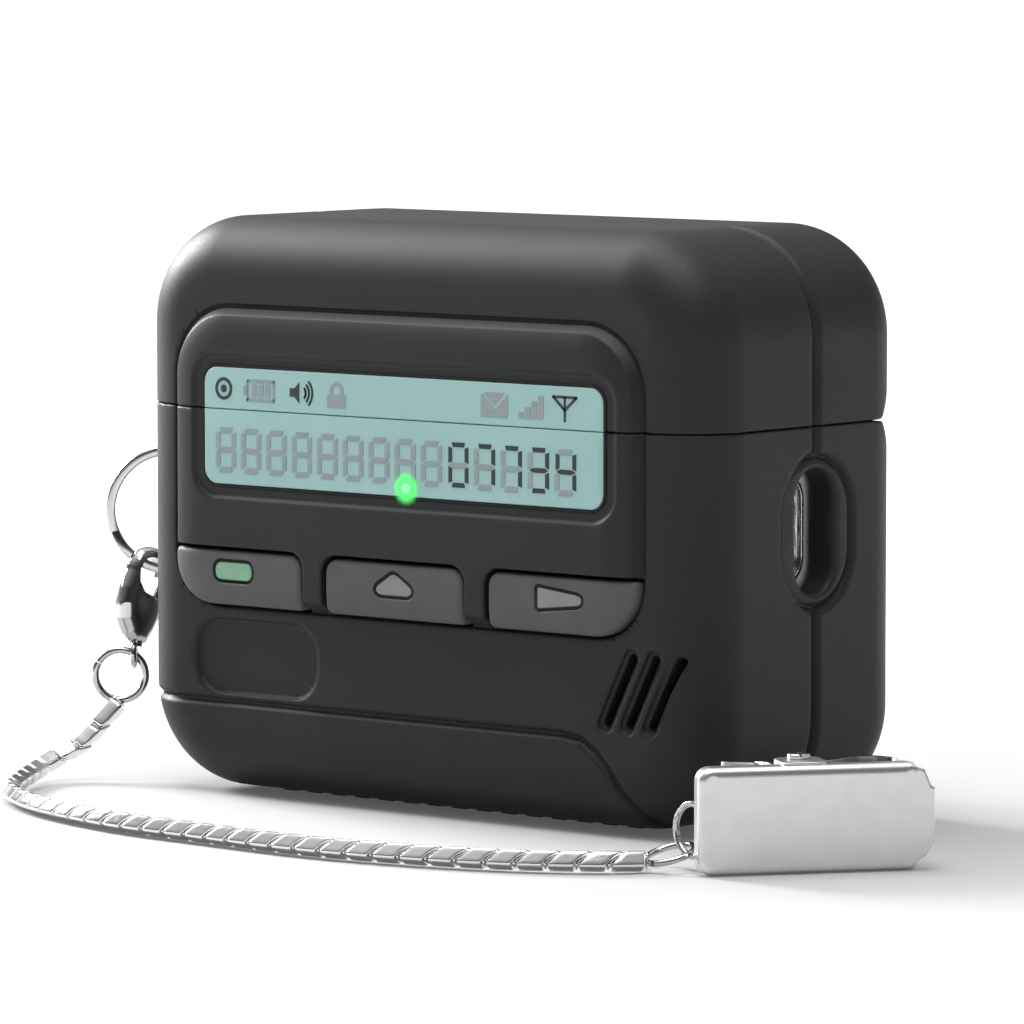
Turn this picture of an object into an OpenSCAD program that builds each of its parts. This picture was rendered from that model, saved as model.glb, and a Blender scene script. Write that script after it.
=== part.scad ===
// Pager-look protective cover over a wireless earphone charging case,
// with a split ring, lobster clasp, box chain and sprung metal clip.
// Millimetres. X to the right, front face towards -Y, Z up, origin under the middle.

/* [Cover] */
// Width of the cover
cover_w = 67; // [60:0.5:75]
// Height of the cover above the tread
cover_h = 52.6; // [46:0.1:60]
// Depth of the plain cover, front panel left out
cover_d = 30.4; // [26:0.1:36]
// Corner radius seen from the front
cover_rc = 9.8; // [8:0.1:18]
// Rounding of the long edges
cover_re = 5.9; // [3:0.1:8]
// Height of the seam between cover halves
seam_z = 35.7; // [30:0.1:42]
// Gap left at the seam
seam_gap = 0.3; // [0.2:0.05:0.6]
// How far the front panel stands out
panel_t = 1.3; // [0.6:0.1:2]

/* [Screen and keys] */
// Width of the screen
screen_w = 46.6; // [40:0.1:50]
// Lower edge of the screen
screen_z0 = 28.85; // [27:0.05:30]
// Upper edge of the screen
screen_z1 = 39.5; // [38:0.1:41]
// Bottom of the key row
key_z0 = 17.6; // [16:0.1:19]
// Top of the key row
key_z1 = 22.8; // [21:0.1:24]
// How far a key can be pushed
key_travel = 0.6; // [0.3:0.1:0.8]

/* [Charging case] */
// Width of the charging case
case_w = 60.6; // [55:0.1:62]
// Height of the charging case
case_h = 45.2; // [40:0.1:46]
// Depth of the charging case
case_d = 21.7; // [18:0.1:23]
// Shell thickness
shell_t = 1.3; // [0.8:0.1:2]

/* [Chain and clip] */
// Across the chain
chain_d = 1.7; // [1.2:0.1:2.5]
// Outside diameter of the split ring
ring_od = 11.8; // [9:0.1:14]
// Length of the clip plate
clip_len = 20; // [16:0.5:24]
// Height of the clip plate
clip_h = 9.4; // [8:0.1:11]

/* [Hidden] */
smooth = 32;
steps = 4;
cover_z0 = 0.4;
mid_y = 0.65;
back_y = mid_y + cover_d/2;
face_y = mid_y - cover_d/2;
front_y = face_y - panel_t;
in_y = 1.55;
case_z0 = 3.9;
case_rc = 18;
case_re = 9;
case_front = in_y - case_d/2;
case_back = in_y + case_d/2;
axis_y = back_y - 1.7;
low_top = seam_z - seam_gap/2;
lid_bot = seam_z + seam_gap/2;
groove_d = 0.45;
far = 80;
button_z = 22;
led_x = 0.9;
led_z = 29.6;
pipe_r = 0.45;
slot_z = 26.4;
bar_y = -3.62;
bar_z = 25;
port_w = 9;
port_d = 3.2;
panel_x = [-27.75, 26.85];
key_ends = [[-27.75, -11.7], [-8.85, 7.35], [10.2, 26.85]];
key_back = -12.7;
key_front = -15.65;
bud_x = 16.5;
head_x = 13.6;
head_z = 37;
head_r = 5.3;
stem_r = 2.8;
stem_z0 = 15.6;
knuckle_r = 1.25;
pin_r = 0.5;
vent_pitch = 2.5;
view_a = 39.6;
ring_pos = [-35.9, -6.5, 25];
clasp_pos = [-37.6, -7.9, 19.2];
clasp_yaw = 79.6;
clasp_tilt = 12;
eye_pos = [-37.9, -9.5, 11.57];
jump_pos = [-38.9, -10.3, 9.6];
clip_pos = [47.2, -19.05, 0];
clip_a = 52.6;
link_pos = [40.95, -25.45, 3.48];
low_ring_pos = [39.3, -26.5, 1.4];
chain_route = [
    [-38.9, -10.4, 7.1], [-39.7, -11.9, 5.4], [-40.5, -13.7, 3.5], [-41.6, -16, 2.2],
    [-40.9, -19.5, 1.4], [-37.6, -25.5, 1.1], [-33.7, -30.4, 1], [-25.5, -35.3, 1],
    [-13.7, -38.7, 1], [-2.4, -39.6, 1], [9.8, -40, 1], [19.6, -38.6, 1],
    [28.5, -35.9, 1], [35.2, -32.1, 1], [38.5, -28.6, 0.95]];

// which sub-part to build

// points of an arc
function arc(cx, cy, r, a0, a1, n) =
    [for (k = [0:n]) [cx + r*cos(a0 + (a1 - a0)*k/n), cy + r*sin(a0 + (a1 - a0)*k/n)]];

// rectangle with four corner radii: low left, low right, top right, top left
function frame_pts(x0, x1, z0, z1, r, n) = concat(
    arc(x1 - r[1], z0 + r[1], r[1], -90, 0, n), arc(x1 - r[2], z1 - r[2], r[2], 0, 90, n),
    arc(x0 + r[3], z1 - r[3], r[3], 90, 180, n), arc(x0 + r[0], z0 + r[0], r[0], 180, 270, n));

// outline of a disc cut in half, edges rounded
function disc_pts(rc, re, d) = concat([[0, -d/2]],
    arc(rc - re, re - d/2, re, -90, 0, steps), arc(rc - re, d/2 - re, re, 0, 90, steps),
    [[0, d/2]]);

// one point of a smooth curve through four points
function blend(a, b, c, d, t) = 0.5*((2*b) + (c - a)*t + (2*a - 5*b + 4*c - d)*t*t
    + (3*b - a - 3*c + d)*t*t*t);
function smooth_path(p, m) = concat([for (i = [0:len(p) - 2]) for (k = [0:m - 1])
    blend(p[max(i - 1, 0)], p[i], p[i + 1], p[min(i + 2, len(p) - 1)], k/m)], [p[len(p) - 1]]);
function helix(r, z0, pitch, turns, n) = [for (k = [0:turns*n])
    [r*cos(360*k/n), r*sin(360*k/n), z0 + pitch*k/n]];
function unit(v) = v/norm(v);
function way(p, i) = unit(p[min(i + 1, len(p) - 1)] - p[max(i - 1, 0)]);
function side_of(t) = unit(cross(t, [0, 0, 1]));
function hoop(c, t, r, s) = [for (k = [0:s - 1])
    c + r*cos(360*k/s + 180/s)*side_of(t) + r*sin(360*k/s + 180/s)*cross(side_of(t), t)];

// closed tube swept along a path
module tube(p, r, s) {
    n = len(p);
    pts = [for (i = [0:n - 1]) each hoop(p[i], way(p, i), r, s)];
    walls = [for (i = [0:n - 2]) for (k = [0:s - 1]) each [
        [i*s + k, i*s + (k + 1)%s, (i + 1)*s + (k + 1)%s],
        [i*s + k, (i + 1)*s + (k + 1)%s, (i + 1)*s + k]]];
    first = [for (k = [1:s - 2]) [0, k + 1, k]];
    last = [for (k = [1:s - 2]) [(n - 1)*s, (n - 1)*s + k, (n - 1)*s + k + 1]];
    polyhedron(points = pts, faces = concat(walls, first, last));
}

// flat outline in the front view, thick from y0 to y1
module front(pts, y0, y1) {
    translate([0, y1, 0]) rotate([90, 0, 0]) linear_extrude(y1 - y0) polygon(pts);
}

// flat outline in the side view, from x0 to x1
module side(pts, x0, x1) {
    translate([x0, 0, 0]) rotate([90, 0, 90]) linear_extrude(x1 - x0) polygon(pts);
}

module box(x0, x1, y0, y1, z0, z1) {
    translate([x0, y0, z0]) cube([x1 - x0, y1 - y0, z1 - z0]);
}

// rounded slab: corners round from the front, all edges rounded
module slab(w, h, d, rc, re, z0, y0) {
    hull()
        for (sx = [-1, 1])
            for (zz = [z0 + rc, z0 + h - rc])
                translate([sx*(w/2 - rc), y0, zz]) rotate([90, 0, 0])
                    rotate_extrude($fn = smooth) polygon(disc_pts(rc, re, d));
}

module cover_slab(t) {
    slab(cover_w - 2*t, cover_h - 2*t, cover_d - 2*t, cover_rc - t, cover_re - t,
        cover_z0 + t, mid_y);
}

module case_slab(t) {
    slab(case_w - 2*t, case_h - 2*t, case_d - 2*t, case_rc - t, case_re - t,
        case_z0 + t, in_y);
}

module lower_half() {
    box(-far, far, -far, far, -far, low_top);
}

module upper_half() {
    box(-far, far, -far, far, lid_bot, far);
}

// one layer of the front panel: e in from its outline, up to t proud of the face
module panel_step(e, t, back) {
    front(frame_pts(panel_x[0] + e, panel_x[1] - e, 17.6 + 0.8*e, 45 - e,
        [5.2 - 0.8*e, 5.2 - 0.8*e, 6.5 - e, 6.5 - e], 6), face_y - t, face_y + back);
}

// raised front panel with a soft edge
module panel() {
    hull() {
        panel_step(0, 0.3, 1);
        panel_step(0.4, 0.7, 0);
        panel_step(1.3, 1.05, 0);
        panel_step(2.7, panel_t, 0);
    }
}

// band of the long groove in the front view
module groove_band() {
    low = [[-40, 8.35], [17.5, 8.35], [19.6, 8], [21.2, 7], [22.7, 5.4], [25.8, 0.4], [26.3, -1]];
    high = [[27.4, -1], [26.7, 0.9], [23.6, 6], [21.9, 7.8], [20, 8.95], [17.7, 9.25], [-40, 9.25]];
    front(concat(low, high), -far, far);
}

module vent(k, half, y1) {
    x0 = 23.1 + k*vent_pitch;
    lean = atan2(6.6, 2.6);
    front(concat(arc(x0 + 2.6, 16.6, half, lean - 90, lean + 90, 4),
        arc(x0, 10, half, lean + 90, lean + 270, 4)), -far, y1);
}

// stadium outline in the side view
function stadium(cy, cz, w, h) = concat(arc(cy, cz + (h - w)/2, w/2, 0, 180, 10),
    arc(cy, cz - (h - w)/2, w/2, 180, 360, 10));

// everything cut only a little way into the cover skin
module skin_cuts() {
    difference() {
        union() {
            groove_band();
            for (k = [0:2]) vent(k, 0.8, -5);
            difference() {
                box(-far, far, in_y - 0.65, in_y + 0.65, 4, far);
                side(stadium(in_y, slot_z, 11, 14), 20, far);
            }
            difference() {
                side(stadium(in_y, slot_z, 11, 14), 20, far);
                side(stadium(in_y, slot_z, 9.6, 12.6), 19, far);
            }
        }
        cover_slab(groove_d);
    }
}

module screen_pocket() {
    front(frame_pts(-24.5, 24.5, 27.7, 40.6, [2.6, 2.6, 2.6, 2.6], 5), -20, front_y + 0.3);
    front(frame_pts(-23.35, 23.35, screen_z0 - 0.05, screen_z1 + 0.05, [1.5, 1.5, 1.5, 1.5], 5),
        -20, front_y + 1.25);
}

function key_pts(which, e) = which == 0
    ? frame_pts(key_ends[0][0] - e, key_ends[0][1] + e, key_z0 - e, key_z1 + e,
        [4.6 + e, 0.6 + e, 1.3 + e, 0.5 + e], 6)
    : which == 1
    ? frame_pts(key_ends[1][0] - e, key_ends[1][1] + e, key_z0 - e, key_z1 + e,
        [0.9 + e, 0.6 + e, 1.3 + e, 1.3 + e], 6)
    : frame_pts(key_ends[2][0] - e, key_ends[2][1] + e, key_z0 - e, key_z1 + e,
        [0.9 + e, 4.6 + e, 0.5 + e, 1.3 + e], 6);

// soft key body before its mark is cut
module key_blank(which) {
    hull() {
        front(key_pts(which, 0), -14.5, key_back);
        front(key_pts(which, -0.25), -15.1, key_back);
        front(key_pts(which, -0.45), key_front, key_back);
    }
}

module button_hole(r, y0, y1) {
    translate([0, y1, button_z]) rotate([90, 0, 0]) cylinder(r = r, h = y1 - y0, $fn = 48);
}

module hinge_window() {
    box(-13, 13, case_back - 0.5, far, seam_z - 2, seam_z + 2);
}

module body_cover() {
    color([0.2, 0.205, 0.21])
    difference() {
        intersection() {
            union() {
                cover_slab(0);
                panel();
            }
            lower_half();
        }
        case_slab(-0.1);
        skin_cuts();
        screen_pocket();
        for (k = [0:2]) {
            front(key_pts(k, 0.35), -20, key_back + key_travel + 0.2);
            vent(k, 0.45, -11.6);
        }
        translate([led_x, -8, led_z]) rotate([90, 0, 0]) cylinder(r = pipe_r + 0.05, h = 8, $fn = 32);
        front(frame_pts(-25.35, -10.9, 9.55, 16.35, [2.8, 2.8, 2.8, 2.8], 6), -20, face_y + 0.5);
        side(stadium(in_y, slot_z, 5.6, 11), 20, far);
        side([[axis_y, low_top], [axis_y + 4, low_top - 4], [axis_y + 4, low_top + 1]], -far, far);
        hinge_window();
        button_hole(3.2, 5, 30);
        box(-6, 6, in_y - 3, in_y + 3, -1, 10);
        translate([0, 0, -1]) linear_extrude(2.5)
            polygon(frame_pts(-23.7, 23.7, mid_y - 8.7, mid_y + 8.7, [3, 3, 3, 3], 5));
        difference() {
            box(-40, -30.75, -5.3, -1.95, bar_z - 5.3, bar_z + 5.3);
            box(-33.6, -32.4, -6, -1, bar_z - 0.9, bar_z + 0.9);
        }
    }
}

module lid_cover() {
    color([0.2, 0.205, 0.21])
    difference() {
        intersection() {
            union() {
                cover_slab(0);
                panel();
            }
            upper_half();
        }
        case_slab(-0.1);
        skin_cuts();
        screen_pocket();
        side([[axis_y, lid_bot], [axis_y + 4, lid_bot - 1], [axis_y + 4, lid_bot + 4]], -far, far);
        hinge_window();
    }
}

module screen_blank() {
    front(frame_pts(-screen_w/2, screen_w/2, screen_z0, screen_z1, [1.45, 1.45, 1.45, 1.45], 5),
        front_y + 0.15, front_y + 1.25);
}

module screen_lower() {
    color([0.6, 0.75, 0.74])
    difference() {
        screen_blank();
        upper_half();
        box(-far, far, -far, far, low_top - 0.05, lid_bot + 1);
        translate([led_x, -8, led_z]) rotate([90, 0, 0]) cylinder(r = pipe_r + 0.05, h = 10, $fn = 32);
    }
}

module screen_upper() {
    color([0.6, 0.75, 0.74])
    difference() {
        screen_blank();
        box(-far, far, -far, far, -far, lid_bot + 0.05);
    }
}

module key_left() {
    color([0.37, 0.37, 0.37])
    difference() {
        key_blank(0);
        front(frame_pts(-22.4, -17.3, 19.95, 21.85, [0.95, 0.95, 0.95, 0.95], 6), -20, -14.55);
    }
}

module key_window() {
    color([0.42, 0.6, 0.48])
    front(frame_pts(-22.25, -17.45, 20.1, 21.7, [0.8, 0.8, 0.8, 0.8], 6), -15.6, -14.55);
}

// ring groove following a closed outline
module engrave(pts, f) {
    difference() {
        front(pts, -20, key_front + 0.25);
        front(f, -21, key_front + 1);
    }
}

module key_centre() {
    house = [[-1.9, -1], [1.9, -1], [2.25, -0.6], [2.2, -0.1], [0, 1.1], [-2.2, -0.1], [-2.25, -0.6]];
    color([0.37, 0.37, 0.37])
    difference() {
        key_blank(1);
        engrave([for (p = house) [p[0] - 0.7, p[1] + 20.85]],
            [for (p = house) [0.86*p[0] - 0.7, 0.74*p[1] + 20.85]]);
    }
}

module key_right() {
    wedge = [[-2.5, -1.1], [2.1, -0.95], [2.5, -0.4], [2.1, 0.15], [-2.2, 1.15], [-2.5, 0.9]];
    color([0.37, 0.37, 0.37])
    difference() {
        key_blank(2);
        engrave([for (p = wedge) [p[0] + 18.35, p[1] + 20.8]],
            [for (p = wedge) [0.87*p[0] + 18.35, 0.74*p[1] + 20.8]]);
    }
}

module base_tread() {
    color([0.12, 0.12, 0.12])
    union() {
        difference() {
            translate([0, 0, 0.9]) linear_extrude(0.6)
                polygon(frame_pts(-23.6, 23.6, mid_y - 8.6, mid_y + 8.6, [3, 3, 3, 3], 5));
            box(-6, 6, in_y - 3, in_y + 3, -1, 10);
        }
        for (k = [-7:7]) {
            box(2.9*k - 0.8, 2.9*k + 0.8, -7.4, -2.2, 0, 0.95);
            box(2.9*k - 0.8, 2.9*k + 0.8, 5.2, 8.6, 0, 0.95);
        }
    }
}

module case_shell() {
    color([0.93, 0.93, 0.93])
    difference() {
        union() {
            difference() {
                intersection() {
                    case_slab(0);
                    lower_half();
                }
                case_slab(shell_t);
            }
            for (s = [-1, 1]) translate([s*16.6, in_y + 3, 5]) cylinder(r = 1.6, h = 2.5, $fn = 32);
        }
        for (s = [-1, 1]) translate([s*16.6, in_y + 3, 6.5]) cylinder(r = 0.56, h = 3, $fn = 32);
        button_hole(2.3, 5, 30);
        translate([led_x, -5, led_z]) rotate([90, 0, 0]) cylinder(r = pipe_r + 0.05, h = 8, $fn = 32);
        side(stadium(in_y, slot_z, 5, 9.9), 25, far);
        box(-port_w/2 - 0.05, port_w/2 + 0.05, in_y - port_d/2 - 0.05, in_y + port_d/2 + 0.05, 0, 10);
    }
}

module well(s, r) {
    translate([s*bud_x, in_y, stem_z0 - 0.2]) cylinder(r = r, h = 40, $fn = 48);
}

module tip_way(s) {
    translate([s*head_x, in_y, head_z]) rotate([0, 0, s > 0 ? 196 : -16]) rotate([0, 84, 0]) children();
}

module case_cradle() {
    color([0.9, 0.9, 0.9])
    difference() {
        union() {
            intersection() {
                case_slab(shell_t + 0.1);
                box(-far, far, -far, far, 30.6, 35.2);
            }
            for (s = [-1, 1])
                translate([s*bud_x, in_y, 14.2]) cylinder(r = 4.1, h = 17, $fn = 48);
        }
        button_hole(9.9, 9.5, 20);
        side(stadium(in_y, slot_z, 5.3, 10.2), 28.2, 40);
        for (s = [-1, 1]) {
            well(s, 3.1);
            translate([s*head_x, in_y, head_z]) sphere(r = head_r + 0.4, $fn = 48);
            tip_way(s) cylinder(r = 3.6, h = 9.4, $fn = 48);
            translate([s*8, -5, 32]) cylinder(r = 1.25, h = 10, $fn = 32);
            for (k = [-1, 1])
                translate([s*bud_x + k*1.2, in_y, 10]) cylinder(r = 0.4, h = 10, $fn = 24);
        }
    }
}

module lid_shell() {
    color([0.93, 0.93, 0.93])
    difference() {
        intersection() {
            case_slab(0);
            upper_half();
        }
        case_slab(shell_t);
    }
}

module lid_liner() {
    color([0.9, 0.9, 0.9])
    difference() {
        union() {
            difference() {
                intersection() {
                    case_slab(shell_t + 0.1);
                    box(-far, far, -far, far, lid_bot + 0.15, far);
                }
                case_slab(shell_t + 1);
            }
            for (s = [-1, 1]) box(s*8 - 2, s*8 + 2, -7.5, -3.2, 37.2, 40.6);
        }
        for (s = [-1, 1]) translate([s*8, -5, 37]) cylinder(r = 1.25, h = 3, $fn = 32);
    }
}

module knuckle(x0, x1, r) {
    translate([x0, axis_y, seam_z]) rotate([0, 90, 0]) cylinder(r = r, h = x1 - x0, $fn = 48);
}

module hinge_leaf_body() {
    color([0.75, 0.76, 0.78])
    difference() {
        union() {
            knuckle(-5, 5, knuckle_r);
            box(-5, 5, case_back, axis_y, seam_z - 1.15, seam_z - 0.35);
            box(-5, 5, case_back, case_back + 0.4, seam_z - 1.85, seam_z - 0.35);
        }
        knuckle(-6, 6, pin_r + 0.02);
    }
}

module hinge_leaf_lid() {
    color([0.75, 0.76, 0.78])
    difference() {
        union() {
            for (s = [-1, 1]) {
                knuckle(s > 0 ? 5.3 : -10.4, s > 0 ? 10.4 : -5.3, knuckle_r);
                box(s > 0 ? 5.3 : -10.4, s > 0 ? 10.4 : -5.3, case_back, axis_y, seam_z + 0.35, seam_z + 1.15);
            }
            box(-10.4, 10.4, case_back, case_back + 0.4, seam_z + 0.6, seam_z + 1.85);
        }
        knuckle(-12, 12, pin_r + 0.05);
    }
}

module hinge_pin() {
    color([0.8, 0.8, 0.82])
    union() {
        knuckle(-10.8, 10.8, pin_r);
        knuckle(10.5, 10.9, 0.8);
    }
}

module lanyard_insert() {
    color([0.7, 0.7, 0.72])
    difference() {
        side(stadium(in_y, slot_z, 4.9, 9.8), 28.4, 30.3);
        for (k = [-1, 1])
            translate([29, in_y, slot_z + k*2.45]) rotate([0, 90, 0]) cylinder(r = 1.8, h = 5, $fn = 48);
        box(29.6, 31, in_y - 1.8, in_y + 1.8, slot_z - 2.45, slot_z + 2.45);
    }
}

module pairing_button() {
    color([0.9, 0.9, 0.9])
    union() {
        button_hole(2.2, 10.5, case_back + 0.2);
        button_hole(3, 10.2, 11);
    }
}

module battery_cell() {
    color([0.55, 0.57, 0.6])
    translate([0, 0, 13.2]) linear_extrude(17.4)
        polygon(frame_pts(-10.6, 10.6, -5, 5.4, [2, 2, 2, 2], 5));
}

module main_board() {
    color([0.1, 0.35, 0.2])
    difference() {
        translate([0, 0, 7.5]) linear_extrude(1)
            polygon(frame_pts(-19, 19, in_y - 5.6, in_y + 5.6, [2, 2, 2, 2], 5));
        box(-port_w/2 - 0.1, port_w/2 + 0.1, in_y - port_d/2 - 0.1, in_y + port_d/2 + 0.1, 5, 10);
        for (s = [-1, 1])
            translate([s*16.6, in_y + 3, 5]) cylinder(r = 0.6, h = 5, $fn = 32);
    }
}

module board_screws() {
    color([0.7, 0.7, 0.72])
    for (s = [-1, 1])
        union() {
            translate([s*16.6, in_y + 3, 6.6]) cylinder(r = 0.55, h = 2, $fn = 32);
            difference() {
                translate([s*16.6, in_y + 3, 8.5]) cylinder(r = 1.2, h = 0.8, $fn = 32);
                translate([s*16.6 - 0.15, in_y + 2.2, 9]) cube([0.3, 1.6, 1]);
            }
        }
}

module charge_coil() {
    color([0.72, 0.42, 0.22])
    for (r = [5.6, 6.9, 8.2])
        difference() {
            translate([0, 11.05, button_z]) rotate([90, 0, 0]) cylinder(r = r + 0.9, h = 0.7, $fn = 64);
            translate([0, 12, button_z]) rotate([90, 0, 0]) cylinder(r = r, h = 2, $fn = 64);
        }
}

module coil_ferrite() {
    color([0.25, 0.25, 0.27])
    difference() {
        translate([0, 10.35, button_z]) rotate([90, 0, 0]) cylinder(r = 9.6, h = 0.6, $fn = 64);
        translate([0, 11, button_z]) rotate([90, 0, 0]) cylinder(r = 3.4, h = 4, $fn = 48);
    }
}

module usb_port() {
    color([0.75, 0.76, 0.78])
    union() {
        difference() {
            translate([0, in_y, 4]) linear_extrude(7.3)
                polygon(frame_pts(-port_w/2, port_w/2, -port_d/2, port_d/2, [1.4, 1.4, 1.4, 1.4], 6));
            translate([0, in_y, 3]) linear_extrude(7.5)
                polygon(frame_pts(-4.15, 4.15, -1.25, 1.25, [1.1, 1.1, 1.1, 1.1], 6));
        }
        box(-3.3, 3.3, in_y - 0.35, in_y + 0.35, 5.4, 11);
    }
}

module status_led() {
    color([0.3, 0.9, 0.4])
    union() {
        box(led_x - 0.8, led_x + 0.8, -7.7, -6.9, led_z - 0.5, led_z + 0.5);
        box(led_x - 1, led_x + 1, -6.9, -6.7, 10.2, led_z + 0.6);
        box(led_x - 1, led_x + 1, -6.9, -3.5, 10.2, 10.4);
        box(led_x - 1, led_x + 1, -3.7, -3.5, 8.5, 10.3);
    }
}

module light_pipe() {
    color([0.75, 0.95, 0.8])
    translate([led_x, -7.75, led_z]) rotate([90, 0, 0]) cylinder(r = pipe_r, h = 7.95, $fn = 32);
}

module case_speaker() {
    color([0.15, 0.15, 0.16])
    difference() {
        translate([10.8, in_y, 8.5]) cylinder(r = 4, h = 3, $fn = 48);
        translate([10.8, in_y, 11]) cylinder(r = 2.6, h = 3, $fn = 48);
    }
}

module case_magnets() {
    color([0.65, 0.65, 0.68])
    for (s = [-1, 1]) translate([s*8, -5, 32]) cylinder(r = 1.2, h = 3, $fn = 32);
}

module lid_magnets() {
    color([0.65, 0.65, 0.68])
    for (s = [-1, 1]) translate([s*8, -5, 37.2]) cylinder(r = 1.2, h = 2.8, $fn = 32);
}

module charge_pins() {
    color([0.8, 0.65, 0.3])
    for (s = [-1, 1])
        for (k = [-1, 1])
            translate([s*bud_x + k*1.2, in_y, 13.4]) cylinder(r = 0.4, h = 2.1, $fn = 24);
}

module bud_shell(s) {
    color([0.94, 0.94, 0.94])
    difference() {
        union() {
            translate([s*head_x, in_y, head_z]) sphere(r = head_r, $fn = 48);
            translate([s*bud_x, in_y, stem_z0 + 1]) cylinder(r = stem_r, h = head_z - stem_z0 + 1.5, $fn = 48);
            tip_way(s) cylinder(r = 2.1, h = 6.6, $fn = 48);
        }
        tip_way(s) translate([0, 0, 6]) cylinder(r = 1.4, h = 3, $fn = 48);
        translate([s*(head_x + 1), in_y, head_z + head_r - 0.8]) cylinder(r = 1.3, h = 2, $fn = 32);
    }
}

module bud_tip(s) {
    color([0.85, 0.85, 0.86])
    tip_way(s)
        difference() {
            union() {
                translate([0, 0, 5.4]) cylinder(r1 = 3.1, r2 = 2.9, h = 1.4, $fn = 48);
                translate([0, 0, 6.8]) cylinder(r1 = 2.9, r2 = 2.1, h = 1.6, $fn = 48);
            }
            translate([0, 0, 5]) cylinder(r = 2.1, h = 1.6, $fn = 48);
            translate([0, 0, 5]) cylinder(r = 1.3, h = 5, $fn = 48);
        }
}

module bud_grille(s) {
    color([0.12, 0.12, 0.13])
    translate([s*(head_x + 1), in_y, head_z + head_r - 0.8]) cylinder(r = 1.25, h = 0.5, $fn = 32);
}

module bud_contact(s) {
    color([0.75, 0.75, 0.77])
    difference() {
        translate([s*bud_x, in_y, stem_z0]) cylinder(r = stem_r, h = 1, $fn = 48);
        translate([s*bud_x, in_y, stem_z0 - 1]) cylinder(r = 0.4, h = 1.4, $fn = 24);
    }
}

module bud_left_shell() {
    bud_shell(-1);
}

module bud_left_tip() {
    bud_tip(-1);
}

module bud_left_grille() {
    bud_grille(-1);
}

module bud_left_contact() {
    bud_contact(-1);
}

module bud_right_shell() {
    bud_shell(1);
}

module bud_right_tip() {
    bud_tip(1);
}

module bud_right_grille() {
    bud_grille(1);
}

module bud_right_contact() {
    bud_contact(1);
}

// hoop standing upright, its plane turned by a from the X axis
module upright(pos, a) {
    translate(pos) rotate([0, 0, a]) rotate([90, 0, 0]) children();
}

module torus(r, w) {
    rotate_extrude($fn = 64) translate([r, 0]) circle(r = w, $fn = 24);
}

module split_ring() {
    color([0.8, 0.8, 0.82])
    upright(ring_pos, view_a)
        union() {
            for (k = [-1, 1])
                translate([0, 0, 0.31*k]) rotate_extrude($fn = 96)
                    translate([ring_od/2 - 0.3, 0]) square([0.6, 0.58], center = true);
            rotate([0, 0, 200]) translate([ring_od/2 - 0.45, -0.8, -0.2]) cube([0.3, 1.6, 0.4]);
        }
}

// space that the split ring takes, with room round it
module ring_room(e) {
    upright(ring_pos, view_a)
        rotate_extrude($fn = 96)
            translate([ring_od/2 - 0.3, 0]) square([0.6 + 2*e, 1.2 + 2*e], center = true);
}

// clasp frame: local X across, local Z along, local Y through the thickness
module clasp_frame() {
    translate(clasp_pos) rotate([0, 0, clasp_yaw]) rotate([0, clasp_tilt, 0]) children();
}

module clasp_pin(r, w) {
    translate([0.7, w, -3.6]) rotate([90, 0, 0]) cylinder(r = r, h = 2*w, $fn = 24);
}

module clasp_body() {
    drop = concat(arc(0, 0, 2.2, -20, 200, 12), [[-2.3, -2], [-2.1, -3.6], [-1.5, -5.2], [-0.8, -6.6]],
        [[0.8, -6.6], [1.5, -5.4], [1.9, -4.2], [1.95, -2.6]]);
    color([0.78, 0.78, 0.8])
    difference() {
        clasp_frame()
        union() {
            difference() {
                front(drop, -0.9, 0.9);
                front(concat(arc(0, 0, 1.5, -30, 180, 10), [[-1.35, -1.2], [-0.9, -2.3], [0.9, -2.3]]), -3, 3);
                front([[0.8, -2.6], [4, -2.6], [4, -0.5], [1.3, -0.5], [0.8, -1]], -3, 3);
                front([[-0.3, -5], [3, -5], [3, -2], [-0.3, -2]], -0.42, 0.42);
            }
            clasp_pin(0.25, 0.5);
        }
        ring_room(0.04);
        upright(eye_pos, view_a + 90) torus(1.05, 0.34);
    }
}

module clasp_lever() {
    color([0.72, 0.72, 0.74])
    clasp_frame()
        difference() {
            front([[0.25, -4.1], [1.15, -4.2], [1.5, -3.2], [2.5, -2.7], [2.5, -2.3], [1.75, -2.1],
                [1.95, -0.75], [1.45, -0.65], [1.05, -2.2], [0.2, -3.2]], -0.36, 0.36);
            clasp_pin(0.28, 1);
        }
}

module clasp_spring() {
    color([0.6, 0.6, 0.62])
    clasp_frame()
        front([[-0.28, -4.6], [0.9, -4.7], [0.95, -4.6], [-0.12, -4.45], [-0.12, -3.2], [-0.28, -3.2]], -0.3, 0.3);
}

module clasp_eye() {
    color([0.78, 0.78, 0.8])
    union() {
        upright(eye_pos, view_a + 90) torus(1.05, 0.3);
        clasp_frame() translate([0, 0, -6.9]) cylinder(r = 0.4, h = 0.3, $fn = 24);
    }
}

module jump_ring_upper() {
    color([0.8, 0.8, 0.82])
    upright(jump_pos, view_a) torus(2.35, 0.35);
}

module chain() {
    color([0.82, 0.82, 0.84])
    tube(smooth_path(chain_route, 2), chain_d/2, 8);
}

module jump_ring_lower() {
    color([0.8, 0.8, 0.82])
    translate(low_ring_pos) rotate([0, 0, 69.6]) rotate([0, -16.9, 0]) torus(2.15, 0.28);
}

module clip_ring() {
    color([0.8, 0.8, 0.82])
    upright(link_pos, -12.4) torus(2.25, 0.28);
}

// clip frame: local X along the plate, local -Y outwards, pivot on local Z
module clip_frame() {
    translate(clip_pos) rotate([0, 0, clip_a]) children();
}

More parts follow.
